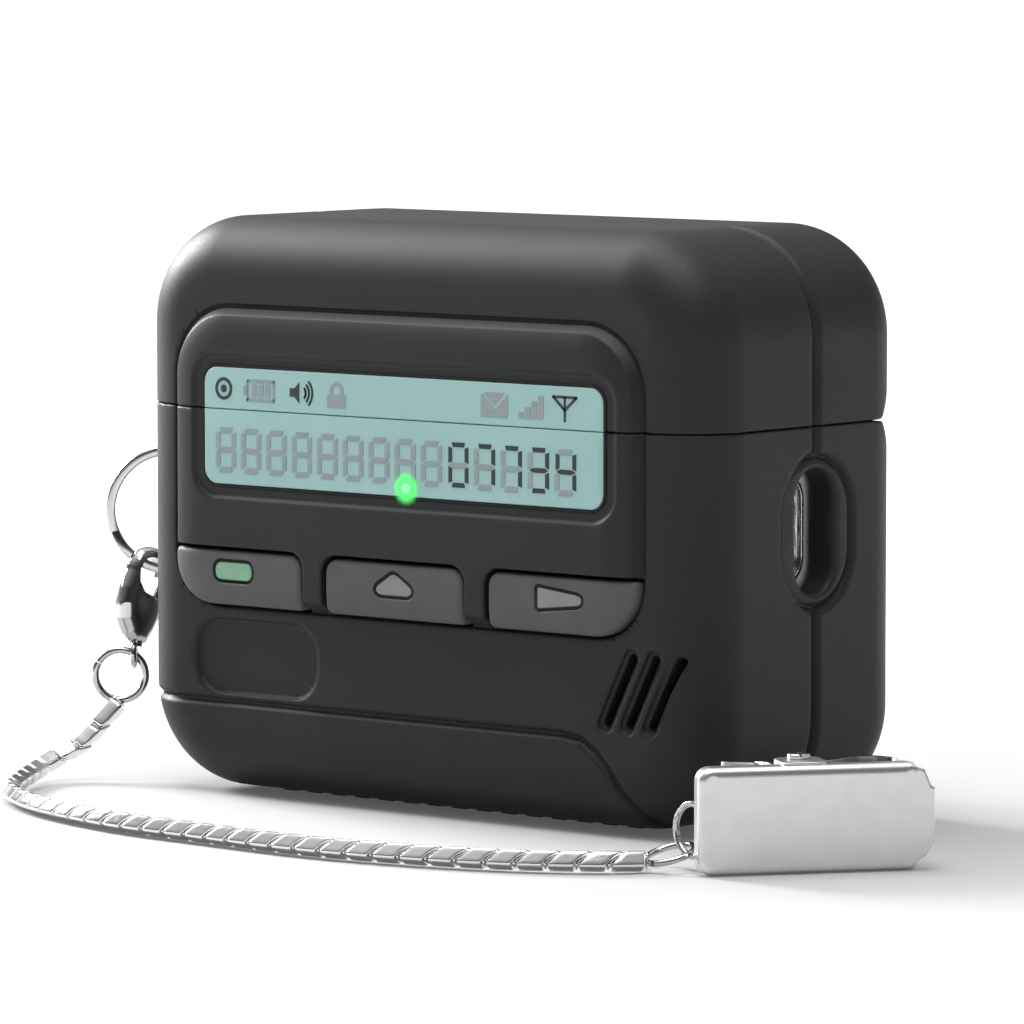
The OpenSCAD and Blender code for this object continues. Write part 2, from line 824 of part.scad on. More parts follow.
module clip_plate() {
    half = clip_len/2;
    color([0.85, 0.85, 0.86])
    clip_frame()
        difference() {
            union() {
                front(frame_pts(-half, half, 0.05, clip_h, [1.2, 1.2, 1.2, 1.2], 6), -3, -2.3);
                front([[half - 1, 1], [half + 1.1, 2], [half + 1.9, 2.3], [half + 1.9, 7.1],
                    [half + 1.1, 7.4], [half - 1, 8.4]], -2.95, -2.35);
                for (z = [0.05, clip_h - 0.6]) {
                    box(-half + 1.2, half - 2, -2.6, -0.7, z, z + 0.6);
                    box(-2, 2, -2.6, 1.3, z, z + 0.6);
                }
                box(-9, -6.9, -2.6, -0.2, 3.5, 4.1);
            }
            cylinder(r = 0.82, h = 20, center = true, $fn = 32);
            translate([-7.9, -1, 3]) cylinder(r = 0.5, h = 2, $fn = 32);
        }
}

module clip_jaw() {
    out = [[-5.4, 3.6], [-5.7, 3.1], [-1.2, 0.9], [1.4, 1], [6.1, 4], [7.7, 3.8], [8.7, 2.6], [8.8, -1.9]];
    back = [[9.4, -1.9], [9.3, 2.9], [8.1, 4.4], [5.9, 4.6], [1.3, 1.7], [-1.1, 1.6]];
    color([0.78, 0.78, 0.8])
    clip_frame()
        difference() {
            union() {
                translate([0, 0, 0.8]) linear_extrude(7.8) polygon(concat(out, back));
                for (z = [0.8, 6.4]) translate([0, 0, z]) cylinder(r = 1.35, h = 2.2, $fn = 32);
            }
            cylinder(r = 0.85, h = 20, $fn = 32);
            translate([0, 0, 3]) cylinder(r = 1.9, h = 3.4, $fn = 32);
        }
}

module clip_pin() {
    color([0.7, 0.7, 0.72])
    clip_frame()
        difference() {
            union() {
                translate([0, 0, 0.1]) cylinder(r = 0.8, h = 9.8, $fn = 32);
                translate([0, 0, 9.45]) cylinder(r = 1, h = 0.4, $fn = 32);
            }
            translate([-0.15, -2, 9.7]) cube([0.3, 4, 1]);
        }
}

module clip_spring() {
    color([0.6, 0.6, 0.62])
    clip_frame()
        tube(helix(1.25, 3.5, 0.55, 4, 12), 0.2, 6);
}

body_cover();
lid_cover();
screen_lower();
screen_upper();
key_left();
key_centre();
key_right();
key_window();
base_tread();
case_shell();
case_cradle();
lid_shell();
lid_liner();
hinge_leaf_body();
hinge_leaf_lid();
hinge_pin();
lanyard_insert();
pairing_button();
battery_cell();
main_board();
board_screws();
charge_coil();
coil_ferrite();
usb_port();
status_led();
light_pipe();
case_speaker();
case_magnets();
lid_magnets();
charge_pins();
bud_left_shell();
bud_left_tip();
bud_left_grille();
bud_left_contact();
bud_right_shell();
bud_right_tip();
bud_right_grille();
bud_right_contact();
split_ring();
clasp_body();
clasp_lever();
clasp_spring();
clasp_eye();
jump_ring_upper();
chain();
jump_ring_lower();
clip_ring();
clip_plate();
clip_jaw();
clip_pin();
clip_spring();
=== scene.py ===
"""Finished look of a soft case cover made like a pager, with its ring, clasp, chain and clip.

Shapes are given in millimetres as signed distance fields or swept outlines, in the CAD frame:
X to the right, the screen towards -Y, Z up. Each mesh is scaled to metres when it is made.
"""
import math

import bpy
import numpy as np
import openvdb
from mathutils import Matrix, Vector


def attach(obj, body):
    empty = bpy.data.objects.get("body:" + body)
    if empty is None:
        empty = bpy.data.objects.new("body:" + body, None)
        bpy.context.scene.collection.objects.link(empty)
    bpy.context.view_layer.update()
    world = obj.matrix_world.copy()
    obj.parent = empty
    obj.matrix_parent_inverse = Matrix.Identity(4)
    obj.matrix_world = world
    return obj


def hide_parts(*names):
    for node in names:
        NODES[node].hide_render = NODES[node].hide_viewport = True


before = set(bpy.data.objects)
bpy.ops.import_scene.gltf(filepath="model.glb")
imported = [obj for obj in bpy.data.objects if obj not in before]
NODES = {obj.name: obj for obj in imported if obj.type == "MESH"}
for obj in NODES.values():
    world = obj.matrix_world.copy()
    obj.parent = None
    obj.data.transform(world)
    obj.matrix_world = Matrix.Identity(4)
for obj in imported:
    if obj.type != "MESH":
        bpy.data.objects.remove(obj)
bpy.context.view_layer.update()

MM = 0.001
FINE = 1.0

# Cover, as in the CAD model
MID_Y = 0.65
PANEL = (-27.75, 26.85, 17.6, 45.0)
PANEL_CORNERS = (5.2, 5.2, 6.5, 6.5)
COVER_HALF = (33.5, 15.2)
COVER_Z = (0.4, 53.0)
COVER_CORNER = 9.8
COVER_EDGE = 5.9
FACE_Y = MID_Y - COVER_HALF[1]
BACK_Y = MID_Y + COVER_HALF[1]
PANEL_OUT = 1.3
PANEL_Y = FACE_Y - PANEL_OUT
SEAM_Z = 35.7
SEAM_GAP = 0.07
SCREEN_Y = PANEL_Y + 0.15
BEVEL_Y = BACK_Y - 3.2
CASE_Y = 1.55
SLOT_Z = 26.4
LED_X = 0.9
LED_Z = 29.6
HALO_R = 1.75


# ---------------------------------------------------------------- camera

TARGET = Vector((-0.27, 0.43, 26.34)) * MM
VIEW_A = 39.6
AZIMUTH = math.radians(VIEW_A)
ELEVATION = math.radians(5.05)
DISTANCE = 0.614


def make_camera():
    """A long lens a little above the table, to the right of the front, aimed at the cover."""
    away = Vector((
        math.sin(AZIMUTH) * math.cos(ELEVATION),
        -math.cos(AZIMUTH) * math.cos(ELEVATION),
        math.sin(ELEVATION),
    ))
    data = bpy.data.cameras.new("camera")
    data.lens = 237.5
    data.sensor_width = 36.0
    data.clip_start = 0.01
    data.clip_end = 20.0
    camera = bpy.data.objects.new("camera", data)
    camera.location = TARGET + away * DISTANCE
    camera.rotation_euler = (-away).to_track_quat("-Z", "Y").to_euler()
    bpy.context.scene.collection.objects.link(camera)
    bpy.context.scene.camera = camera


make_camera()


# ---------------------------------------------------------------- mesh tools

def link_mesh(name, points, faces, smooth=True):
    """A mesh object from points in millimetres."""
    mesh = bpy.data.meshes.new(name)
    mesh.from_pydata((np.asarray(points) * MM).tolist(), [], faces)
    mesh.update()
    mesh.polygons.foreach_set("use_smooth", [smooth] * len(mesh.polygons))
    piece = bpy.data.objects.new(name, mesh)
    bpy.context.scene.collection.objects.link(piece)
    return piece


def slope(field, points, step):
    """Unit gradient of a distance field at points."""
    out = np.empty_like(points)
    for axis in range(3):
        shift = np.zeros(3, np.float32)
        shift[axis] = step
        ahead = field(*(points + shift).T)
        behind = field(*(points - shift).T)
        out[:, axis] = ahead - behind
    return out / np.maximum(np.linalg.norm(out, axis=1, keepdims=True), 1e-9)


def solid(name, low, high, cell, field, place=None, thin=0.004, fine=True):
    """A closed mesh of the region where field(x, y, z) is negative."""
    cell = cell * FINE if fine else cell
    axes = [np.arange(a - 1.5 * cell, b + 2.5 * cell, cell, dtype=np.float32) for a, b in zip(low, high)]
    x = axes[0][:, None, None]
    y = axes[1][None, :, None]
    z = axes[2][None, None, :]
    values = np.broadcast_to(field(x, y, z), [len(a) for a in axes])
    values = np.clip(values, -3 * cell, 3 * cell).astype(np.float32)
    grid = openvdb.FloatGrid()
    grid.copyFromArray(values, tolerance=0.0)
    points, triangles, quads = grid.convertToPolygons(isovalue=0.0, adaptivity=thin)
    points = (points * cell + np.array([a[0] for a in axes])).astype(np.float32)
    for _ in range(2):
        normals = slope(field, points, 0.25 * cell)
        away = np.clip(field(*points.T), -0.5 * cell, 0.5 * cell)
        points = points - normals * away[:, None]
    normals = slope(field, points, 0.3 * cell)
    faces = triangles.tolist() + quads.tolist()
    if place is not None:
        turn = np.array(place.to_3x3())
        points = points @ turn.T + np.array(place.to_translation())
        normals = normals @ turn.T
    piece = link_mesh(name, points, faces)
    piece.data.normals_split_custom_set_from_vertices(normals.tolist())
    return piece


def hypot(a, b):
    return np.sqrt(a * a + b * b)


def hard_max(first, *others):
    for other in others:
        first = np.maximum(first, other)
    return first


def hard_min(first, *others):
    for other in others:
        first = np.minimum(first, other)
    return first


def soft_max(a, b, k):
    """Overlap of two shapes, with its edges rounded over k."""
    near = np.maximum(k - np.abs(a - b), 0)
    return np.maximum(a, b) + near * near / (4 * k)


def soft_min(a, b, k):
    """Union of two shapes, with the fold between them filled over k."""
    return -soft_max(-a, -b, k)


def cut(shape, hole, k=0.15):
    return soft_max(shape, -hole, k)


def rect(u, v, u0, u1, v0, v1, radii):
    """Distance to a rectangle with radii low left, low right, top right, top left."""
    if np.isscalar(radii):
        radii = (radii,) * 4
    du = u - (u0 + u1) / 2
    dv = v - (v0 + v1) / 2
    low = np.where(du > 0, radii[1], radii[0])
    top = np.where(du > 0, radii[2], radii[3])
    r = np.where(dv > 0, top, low)
    qu = np.abs(du) - (u1 - u0) / 2 + r
    qv = np.abs(dv) - (v1 - v0) / 2 + r
    return np.minimum(np.maximum(qu, qv), 0) + hypot(np.maximum(qu, 0), np.maximum(qv, 0)) - r


def span(u, u0, u1):
    """Distance to the slab between two planes."""
    return np.abs(u - (u0 + u1) / 2) - (u1 - u0) / 2


def prism(flat, deep, r=0.0):
    """A flat outline's distance and a depth's distance joined, with rounded rims."""
    a = flat + r
    b = deep + r
    return np.minimum(np.maximum(a, b), 0) + hypot(np.maximum(a, 0), np.maximum(b, 0)) - r


def swell(flat, across, fall, rise):
    """A shape that swells from nothing at its outline to rise, over a distance fall."""
    a = np.maximum(fall + flat, 0) / fall
    b = across / rise
    k0 = np.maximum(hypot(a, b), 1e-3)
    k1 = np.maximum(hypot(a / fall, b / rise), 1e-3 / rise)
    return k0 * (k0 - 1) / k1


def line_distance(u, v, points):
    """Distance to an open line through points."""
    best = None
    for (u0, v0), (u1, v1) in zip(points[:-1], points[1:]):
        du, dv = u1 - u0, v1 - v0
        if du * du + dv * dv < 1e-12:
            continue
        t = np.clip(((u - u0) * du + (v - v0) * dv) / (du * du + dv * dv), 0, 1)
        d = hypot(u - u0 - t * du, v - v0 - t * dv)
        best = d if best is None else np.minimum(best, d)
    return best


def polygon_distance(u, v, points):
    """Signed distance to a closed outline."""
    ring = list(points) + [points[0]]
    best = line_distance(u, v, ring)
    inside = np.zeros(np.broadcast(u, v).shape, bool)
    for (u0, v0), (u1, v1) in zip(ring[:-1], ring[1:]):
        if v0 == v1:
            continue
        crosses = (v0 > v) != (v1 > v)
        inside ^= crosses & (u < (u1 - u0) * (v - v0) / (v1 - v0) + u0)
    return np.where(inside, -best, best)


def arc(cu, cv, r, a0, a1, n):
    turns = [math.radians(a0 + (a1 - a0) * k / n) for k in range(n + 1)]
    return [(cu + r * math.cos(a), cv + r * math.sin(a)) for a in turns]


def rounded(points, n=3, reach=0.3):
    """An outline with its corners softened."""
    out = []
    count = len(points)
    for i in range(count):
        before, here, after = (Vector(points[(i + k) % count]) for k in (-1, 0, 1))
        a = here + (before - here) * min(0.5, reach / max((before - here).length, 1e-6))
        b = here + (after - here) * min(0.5, reach / max((after - here).length, 1e-6))
        for k in range(n + 1):
            t = k / n
            out.append(tuple(a * (1 - t) ** 2 + here * 2 * t * (1 - t) + b * t ** 2))
    return out


def smooth_path(points, steps):
    """Catmull-Rom curve through points."""
    p = [np.array(q, float) for q in points]
    out = []
    for i in range(len(p) - 1):
        a, b, c, d = p[max(i - 1, 0)], p[i], p[i + 1], p[min(i + 2, len(p) - 1)]
        for k in range(steps):
            t = k / steps
            out.append(0.5 * (2 * b + (c - a) * t + (2 * a - 5 * b + 4 * c - d) * t * t
                              + (3 * b - a - 3 * c + d) * t ** 3))
    out.append(p[-1])
    return np.array(out)


def unit(v):
    return v / np.maximum(np.linalg.norm(v, axis=-1, keepdims=True), 1e-9)


def sweep(name, path, outline, side):
    """A solid that carries a closed outline along a path; side is the outline's first axis."""
    path = np.array(path, float)
    ahead = unit(np.gradient(path, axis=0))
    side = unit(np.array(side, float) * np.ones_like(path))
    side = unit(side - ahead * np.sum(side * ahead, axis=1, keepdims=True))
    up = np.cross(ahead, side)
    outline = np.array(outline, float)
    points = (path[:, None] + outline[None, :, :1] * side[:, None] + outline[None, :, 1:] * up[:, None])
    n, m = len(path), len(outline)
    faces = []
    for i in range(n - 1):
        for k in range(m):
            q = (k + 1) % m
            faces.append((i * m + k, i * m + q, (i + 1) * m + q, (i + 1) * m + k))
    faces.append(tuple(range(m))[::-1])
    faces.append(tuple((n - 1) * m + k for k in range(m)))
    return link_mesh(name, points.reshape(-1, 3), faces)


def prism_mesh(name, outlines, y0, y1):
    """Flat outlines in the front view, extruded from y0 to y1, as one mesh."""
    points, faces = [], []
    for outline in outlines:
        area = sum(a[0] * b[1] - b[0] * a[1] for a, b in zip(outline, outline[1:] + outline[:1]))
        outline = outline if area > 0 else outline[::-1]
        start, m = len(points), len(outline)
        points += [(u, y0, v) for u, v in outline] + [(u, y1, v) for u, v in outline]
        faces.append(tuple(start + k for k in range(m)))
        faces.append(tuple(start + m + k for k in range(m))[::-1])
        for k in range(m):
            q = (k + 1) % m
            faces.append((start + k, start + m + k, start + m + q, start + q))
    return link_mesh(name, points, faces, smooth=False)


def placed(position, *turns):
    out = Matrix.Translation(Vector(position))
    for angle, axis in turns:
        out = out @ Matrix.Rotation(math.radians(angle), 4, axis)
    return out


# ---------------------------------------------------------------- material tools

def map_range(tree, value, source, target, kind="LINEAR"):
    made = tree.nodes.new("ShaderNodeMapRange")
    made.interpolation_type = kind
    sockets = ("From Min", "From Max", "To Min", "To Max")
    for socket, number in zip(sockets, (*source, *target)):
        made.inputs[socket].default_value = number
    tree.links.new(value, made.inputs["Value"])
    return made.outputs["Result"]


class Look:
    """A material under construction: its tree, its shader, and short ways to add nodes."""

    def __init__(self, name, color, roughness, **sockets):
        self.material = bpy.data.materials.new(name)
        self.material.use_nodes = True
        self.tree = self.material.node_tree
        self.shader = self.tree.nodes["Principled BSDF"]
        self.place = self.tree.nodes.new("ShaderNodeTexCoord").outputs["Object"]
        self.set("Base Color", (*color, 1.0))
        self.set("Roughness", roughness)
        for socket, value in sockets.items():
            self.set(socket.replace("_", " "), value)

    def set(self, socket, value):
        self.shader.inputs[socket].default_value = value

    def node(self, kind, **values):
        made = self.tree.nodes.new(kind)
        for key, value in values.items():
            setattr(made, key, value)
        return made

    def link(self, a, b):
        self.tree.links.new(a, b)

    def spots(self, size, stretch=(1, 1, 1), detail=3.0, rough=0.55):
        """Noise with features about size millimetres across."""
        scale = self.node("ShaderNodeMapping")
        scale.inputs["Scale"].default_value = stretch
        self.link(self.place, scale.inputs["Vector"])
        made = self.node("ShaderNodeTexNoise")
        made.inputs["Scale"].default_value = 1.0 / (size * MM)
        made.inputs["Detail"].default_value = detail
        made.inputs["Roughness"].default_value = rough
        self.link(scale.outputs[0], made.inputs["Vector"])
        return made.outputs["Fac"]

    def spread(self, value, low, high, start=0.3, end=0.7, kind="LINEAR"):
        """A value between low and high, from one between start and end; noise keeps to 0.3 to 0.7."""
        return map_range(self.tree, value, (start, end), (low, high), kind)

    def distance(self, vector):
        length = self.node("ShaderNodeVectorMath", operation="LENGTH")
        self.link(vector, length.inputs[0])
        return length.outputs["Value"]

    def tint(self, value, dark, light, socket="Base Color"):
        """A colour that runs from dark to light with a value."""
        made = self.node("ShaderNodeMix", data_type="RGBA")
        made.inputs[6].default_value = (*dark, 1.0)
        made.inputs[7].default_value = (*light, 1.0)
        self.link(self.spread(value, 0.0, 1.0), made.inputs[0])
        self.link(made.outputs[2], self.shader.inputs[socket])
        return self

    def rub(self, value, low, high):
        """Roughness that varies between low and high."""
        self.link(self.spread(value, low, high), self.shader.inputs["Roughness"])
        return self

    def grain(self, depth, *values):
        """Bump of depth millimetres from noises, added up."""
        total = values[0]
        for value in values[1:]:
            both = self.node("ShaderNodeMath", operation="ADD")
            self.link(total, both.inputs[0])
            self.link(value, both.inputs[1])
            total = both.outputs[0]
        made = self.node("ShaderNodeBump")
        made.inputs["Strength"].default_value = 1.0
        made.inputs["Distance"].default_value = depth * MM
        self.link(total, made.inputs["Height"])
        self.link(made.outputs["Normal"], self.shader.inputs["Normal"])
        return self


def grey(value, warm=0.0):
    return (value * (1 + warm), value, value * (1 - warm))


def silicone():
    look = Look("silicone_dark", grey(0.02, -0.02), 0.5, Specular_IOR_Level=0.22)
    look.tint(look.spots(9.0), (0.0150, 0.0157, 0.0168), (0.0172, 0.0179, 0.0191))
    look.rub(look.spots(0.35), 0.46, 0.56)
    return look.grain(0.006, look.spots(0.16), look.spots(0.6)).material


def gap_shade_look():
    # Painted shade: near-black colour for the floors of narrow grooves and gaps, where shade falls. It is
    # used for the groove round each key mark and for the gap round the screen.
    look = Look("gap_painted_shade", grey(0.008), 0.7, Specular_IOR_Level=0.3)
    look.tint(look.spots(0.5), grey(0.006), grey(0.010))
    return look.grain(0.004, look.spots(0.12)).material


def key_rubber():
    look = Look("key_rubber", grey(0.08), 0.55, Specular_IOR_Level=0.25)
    look.tint(look.spots(2.5), grey(0.076), grey(0.086))
    look.rub(look.spots(0.3), 0.5, 0.62)
    return look.grain(0.005, look.spots(0.13)).material


def key_mark():
    look = Look("key_mark", grey(0.2), 0.5, Specular_IOR_Level=0.45)
    look.tint(look.spots(1.2), grey(0.185), grey(0.215))
    return look.grain(0.004, look.spots(0.13)).material


def lens_green():
    look = Look("key_lens", (0.145, 0.33, 0.2), 0.35, Specular_IOR_Level=0.5, Coat_Weight=0.15)
    look.tint(look.spots(1.5), (0.135, 0.31, 0.185), (0.16, 0.355, 0.22))
    return look.grain(0.003, look.spots(0.2)).material


def screen_print():
    look = Look("screen_print", (0.27, 0.452, 0.442), 0.38, Specular_IOR_Level=0.4, Coat_Weight=0.1)
    look.tint(look.spots(14.0), (0.257, 0.436, 0.426), (0.283, 0.467, 0.457))
    look.rub(look.spots(0.5), 0.34, 0.42)
    return look.grain(0.002, look.spots(0.2)).material


def ink(name, color):
    look = Look(name, color, 0.45, Specular_IOR_Level=0.35)
    low = tuple(c * 0.94 for c in color)
    high = tuple(c * 1.06 for c in color)
    look.tint(look.spots(0.8), low, high)
    return look.grain(0.002, look.spots(0.15)).material


def metal(name, color, low, high, grain=0.003, size=0.4, stretch=(1, 1, 1)):
    look = Look(name, color, low, Metallic=1.0)
    shade = tuple(c * 0.93 for c in color)
    look.tint(look.spots(2.2), shade, color)
    look.rub(look.spots(size, stretch), low, high)
    return look.grain(grain, look.spots(size, stretch)).material


def plastic(name, color, rough=0.3, spread=0.03, grain=0.003, size=0.5, **sockets):
    look = Look(name, color, rough, **sockets)
    low = tuple(c * (1 - spread) for c in color)
    high = tuple(min(1.0, c * (1 + spread)) for c in color)
    look.tint(look.spots(6.0), low, high)
    look.rub(look.spots(size), rough * 0.9, rough * 1.15)
    return look.grain(grain, look.spots(size)).material


def glow():
    look = Look("led_glow", (0.1, 0.8, 0.2), 0.3, Emission_Strength=1.0)
    look.tint(look.spots(0.3), (0.18, 0.95, 0.25), (0.3, 1.0, 0.36), "Emission Color")
    return look.material


def halo():
    """Soft green light around the lamp: clear at its rim."""
    look = Look("led_halo", (0.05, 0.6, 0.12), 0.6, Emission_Strength=1.2)
    look.set("Emission Color", (0.08, 0.9, 0.15, 1.0))
    shift = look.node("ShaderNodeVectorMath", operation="SUBTRACT")
    shift.inputs[1].default_value = (LED_X * MM, SCREEN_Y * MM, LED_Z * MM)
    look.link(look.place, shift.inputs[0])
    away = look.distance(shift.outputs[0])
    fade = look.spread(away, 0.75, 0.0, 0.25 * MM, HALO_R * MM, "SMOOTHERSTEP")
    look.link(fade, look.shader.inputs["Alpha"])
    return look.material


WHITE = (0.86, 0.865, 0.87)

LOOKS = {
    "silicone_dark": silicone(),
    "gap_painted_shade": gap_shade_look(),
    "key_rubber": key_rubber(),
    "key_mark": key_mark(),
    "key_lens": lens_green(),
    "screen_print": screen_print(),
    "ink_dark": ink("ink_dark", (0.018, 0.026, 0.028)),
    "ink_ghost": ink("ink_ghost", (0.245, 0.275, 0.29)),
    "ink_shadow": ink("ink_shadow", (0.2, 0.352, 0.348)),
    "tread_rubber": plastic("tread_rubber", grey(0.02), 0.7, 0.1, 0.012, 0.2),
    "case_white": plastic("case_white", WHITE, 0.16, 0.01, 0.001, 1.5, Coat_Weight=0.4),
    "liner_white": plastic("liner_white", (0.8, 0.805, 0.81), 0.32, 0.015, 0.003, 0.4),
    "hinge_steel": metal("hinge_steel", grey(0.62), 0.22, 0.36, 0.002, 0.3, (1, 6, 6)),
    "insert_steel": metal("insert_steel", grey(0.5), 0.2, 0.32, 0.002, 0.3, (6, 1, 1)),
    "cell_foil": metal("cell_foil", grey(0.7), 0.28, 0.45, 0.02, 1.6),
    "board_green": plastic("board_green", (0.02, 0.11, 0.045), 0.35, 0.2, 0.01, 0.5),
    "screw_steel": metal("screw_steel", grey(0.45), 0.25, 0.35),
    "coil_copper": metal("coil_copper", (0.72, 0.33, 0.16), 0.25, 0.4, 0.02, 0.25),
    "ferrite_dark": plastic("ferrite_dark", grey(0.04), 0.75, 0.2, 0.01, 0.3),
    "led_body": plastic("led_body", (0.75, 0.78, 0.6), 0.3),
    "pipe_clear": plastic("pipe_clear", (0.8, 0.95, 0.85), 0.12, Transmission_Weight=0.7),
    "speaker_black": plastic("speaker_black", grey(0.015), 0.5, 0.2, 0.02, 0.2),
    "magnet_nickel": metal("magnet_nickel", (0.6, 0.58, 0.54), 0.18, 0.28),
    "pin_gold": metal("pin_gold", (0.85, 0.62, 0.25), 0.15, 0.25),
    "bud_white": plastic("bud_white", WHITE, 0.12, 0.01, 0.001, 2.0, Coat_Weight=0.5),
    "tip_soft": plastic("tip_soft", grey(0.72), 0.5, 0.02, 0.004, 0.25, Subsurface_Weight=0.15,
                        Subsurface_Scale=0.001),
    "grille_black": metal("grille_black", grey(0.06), 0.35, 0.5, 0.03, 0.12),
    "contact_metal": metal("contact_metal", grey(0.6), 0.2, 0.3),
    "chrome_ring": metal("chrome_ring", grey(0.5), 0.12, 0.18, 0.001, 0.5),
    "spring_steel": metal("spring_steel", grey(0.5), 0.22, 0.32),
    "chain_metal": metal("chain_metal", grey(0.85), 0.12, 0.2, 0.001, 0.5),
    "clip_satin": metal("clip_satin", grey(0.72), 0.3, 0.38, 0.001, 0.25, (1, 1, 5)),
    "clip_steel": metal("clip_steel", grey(0.66), 0.18, 0.28),
}


def finish_piece(piece, body, slot, look=None, replaces=()):
    """Gives a piece its body and its material, from the look or else the slot, and hides the CAD nodes it
    stands for.
    """
    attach(piece, body)
    piece.data.materials.clear()
    piece.data.materials.append(LOOKS[look or slot])
    if replaces:
        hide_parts(*replaces)
    return piece


# ---------------------------------------------------------------- chain

CHAIN_ROUTE = [
    (-38.9, -10.4, 7.1), (-39.7, -11.9, 5.4), (-40.5, -13.7, 3.5), (-41.6, -16, 2.2),
    (-40.9, -19.5, 1.4), (-37.6, -25.5, 1.1), (-33.7, -30.4, 1), (-25.5, -35.3, 1),
    (-13.7, -38.7, 1), (-2.4, -39.6, 1), (9.8, -40, 1), (19.6, -38.6, 1),
    (28.5, -35.9, 1), (35.2, -32.1, 1), (38.5, -28.6, 0.95)]
LINK_PITCH = 2.6
LINK_LEAN = 1.45
LINK_ROWS = [  # distance from the joint, how far the skin is sunk
    (0.0, 0.13), (0.09, 0.13), (0.13, 0.2), (0.135, 0.36), (0.215, 0.36), (0.22, 0.16),
    (0.25, 0.07), (0.31, 0.02), (0.42, 0.0), (0.8, 0.0)]


def chain_frames():
    """Dense route with its length, outward and upward directions."""
    path = smooth_path(CHAIN_ROUTE, 24)
    steps = np.linalg.norm(np.diff(path, axis=0), axis=1)
    length = np.concatenate([[0], np.cumsum(steps)])
    ahead = unit(np.gradient(path, axis=0))
    tilt = math.radians(30)
    out = np.empty_like(path)
    side = np.cross(ahead[-1], (0, 0, 1.0))
    side = math.cos(tilt) * unit(side) + math.sin(tilt) * np.array((0, 0, 1.0))
    for i in range(len(path) - 1, -1, -1):
        side = unit(side - ahead[i] * side.dot(ahead[i]))
        out[i] = side
    return path, length, out, np.cross(out, ahead)


def make_chain():
    """Square links with leaning, curved joints, run along the route as one mesh."""
    path, length, out, up = chain_frames()
    total = length[-1]
    count = round(total / LINK_PITCH)
    pitch = total / count
    half, corner = 0.74, 0.26
    ring = []
    for cu, cv, a0 in ((1, -1, -90), (1, 1, 0), (-1, 1, 90), (-1, -1, 180)):
        ring += arc(cu * (half - corner), cv * (half - corner), corner, a0, a0 + 90, 4)
        if cu == cv:
            continue
        ring += [(cu * half, cv * half * f) for f in ((-0.3, 0.0, 0.3) if cv < 0 else ())]
    ring = np.array(ring)
    order = np.argsort(np.arctan2(ring[:, 1], ring[:, 0]))
    ring = ring[order]
    rows = []
    for k in range(count):
        start = k * pitch
        rows += [(start + a, s) for a, s in LINK_ROWS]
        rows += [(start + pitch - a, s) for a, s in LINK_ROWS[:0:-1]]
    rows.append((total, LINK_ROWS[0][1]))
    points, faces = [], []
    m = len(ring)
    for at, sunk in rows:
        scale = (half - sunk) / half
        lean = LINK_LEAN * ((ring[:, 1] / half + 1) / 2) ** 1.5 - 0.5 * LINK_LEAN
        fade = min(1.0, at / 2.5, (total - at) / 2.5)
        where = np.clip(at + lean * fade, 0, total)
        for (u, v), w in zip(ring * scale, where):
            centre, a, b = (np.array([np.interp(w, length, q[:, i]) for i in range(3)])
                            for q in (path, out, up))
            points.append(centre + unit(a) * u + unit(b) * v)
    for i in range(len(rows) - 1):
        for k in range(m):
            q = (k + 1) % m
            faces.append((i * m + k, i * m + q, (i + 1) * m + q, (i + 1) * m + k))
    faces.append(tuple(range(m))[::-1])
    faces.append(tuple((len(rows) - 1) * m + k for k in range(m)))
    piece = link_mesh("chain_links", points, faces)
    piece.data.set_sharp_from_angle(angle=math.radians(38))
    return finish_piece(piece, "body", "chain_metal", replaces=["chain"]), path, total


chain, chain_path, chain_length = make_chain()


# ---------------------------------------------------------------- rings, clasp and clip

CLASP = placed((-37.6, -7.9, 19.2), (79.6, "Z"), (12, "Y"))
CLIP = placed((47.2, -19.05, 0), (52.6, "Z"))


def hoop(name, place, radius, wire, gap, start):
    """A round wire ring, closed but for a fine cut."""
    turns = [math.radians(start + gap / 2 + (360 - gap) * k / 96) for k in range(97)]
    path = [place @ Vector((radius * math.cos(a), radius * math.sin(a), 0)) for a in turns]
    side = [(place.to_3x3() @ Vector((math.cos(a), math.sin(a), 0))) for a in turns]
    round_wire = np.linspace(0, 2 * math.pi, 20, endpoint=False)
    outline = [(wire * math.cos(a), wire * math.sin(a)) for a in round_wire]
    piece = sweep(name, path, outline, side)
    piece.data.set_sharp_from_angle(angle=math.radians(40))
    return piece


def upright(position, angle):
    return placed(position, (angle, "Z"), (90, "X"))


def make_split_ring():
    """Two flat turns of wire with a step between them."""
    place = upright((-35.9, -6.5, 25), VIEW_A)
    path, side = [], []
    for k in range(289):
        turn = k / 144
        a = math.radians(200 + 360 * turn)
        step = 0.5 - 0.5 * math.cos(math.pi * min(1, max(0, (turn - 0.93) / 0.14)))
        radial = Vector((math.cos(a), math.sin(a), 0))
        path.append(place @ (radial * 5.6 + Vector((0, 0, -0.31 + 0.62 * step))))
        side.append(place.to_3x3() @ radial)
    r, a, b = 0.13, 0.42, 0.28
    outline = []
    for cu, cv, a0 in ((1, -1, -90), (1, 1, 0), (-1, 1, 90), (-1, -1, 180)):
        outline += arc(cu * (a - r), cv * (b - r), r, a0, a0 + 90, 3)
    piece = sweep("split_ring_coils", path, outline, side)
    piece.data.set_sharp_from_angle(angle=math.radians(50))
    return finish_piece(piece, "body", "chrome_ring", replaces=["split_ring"])


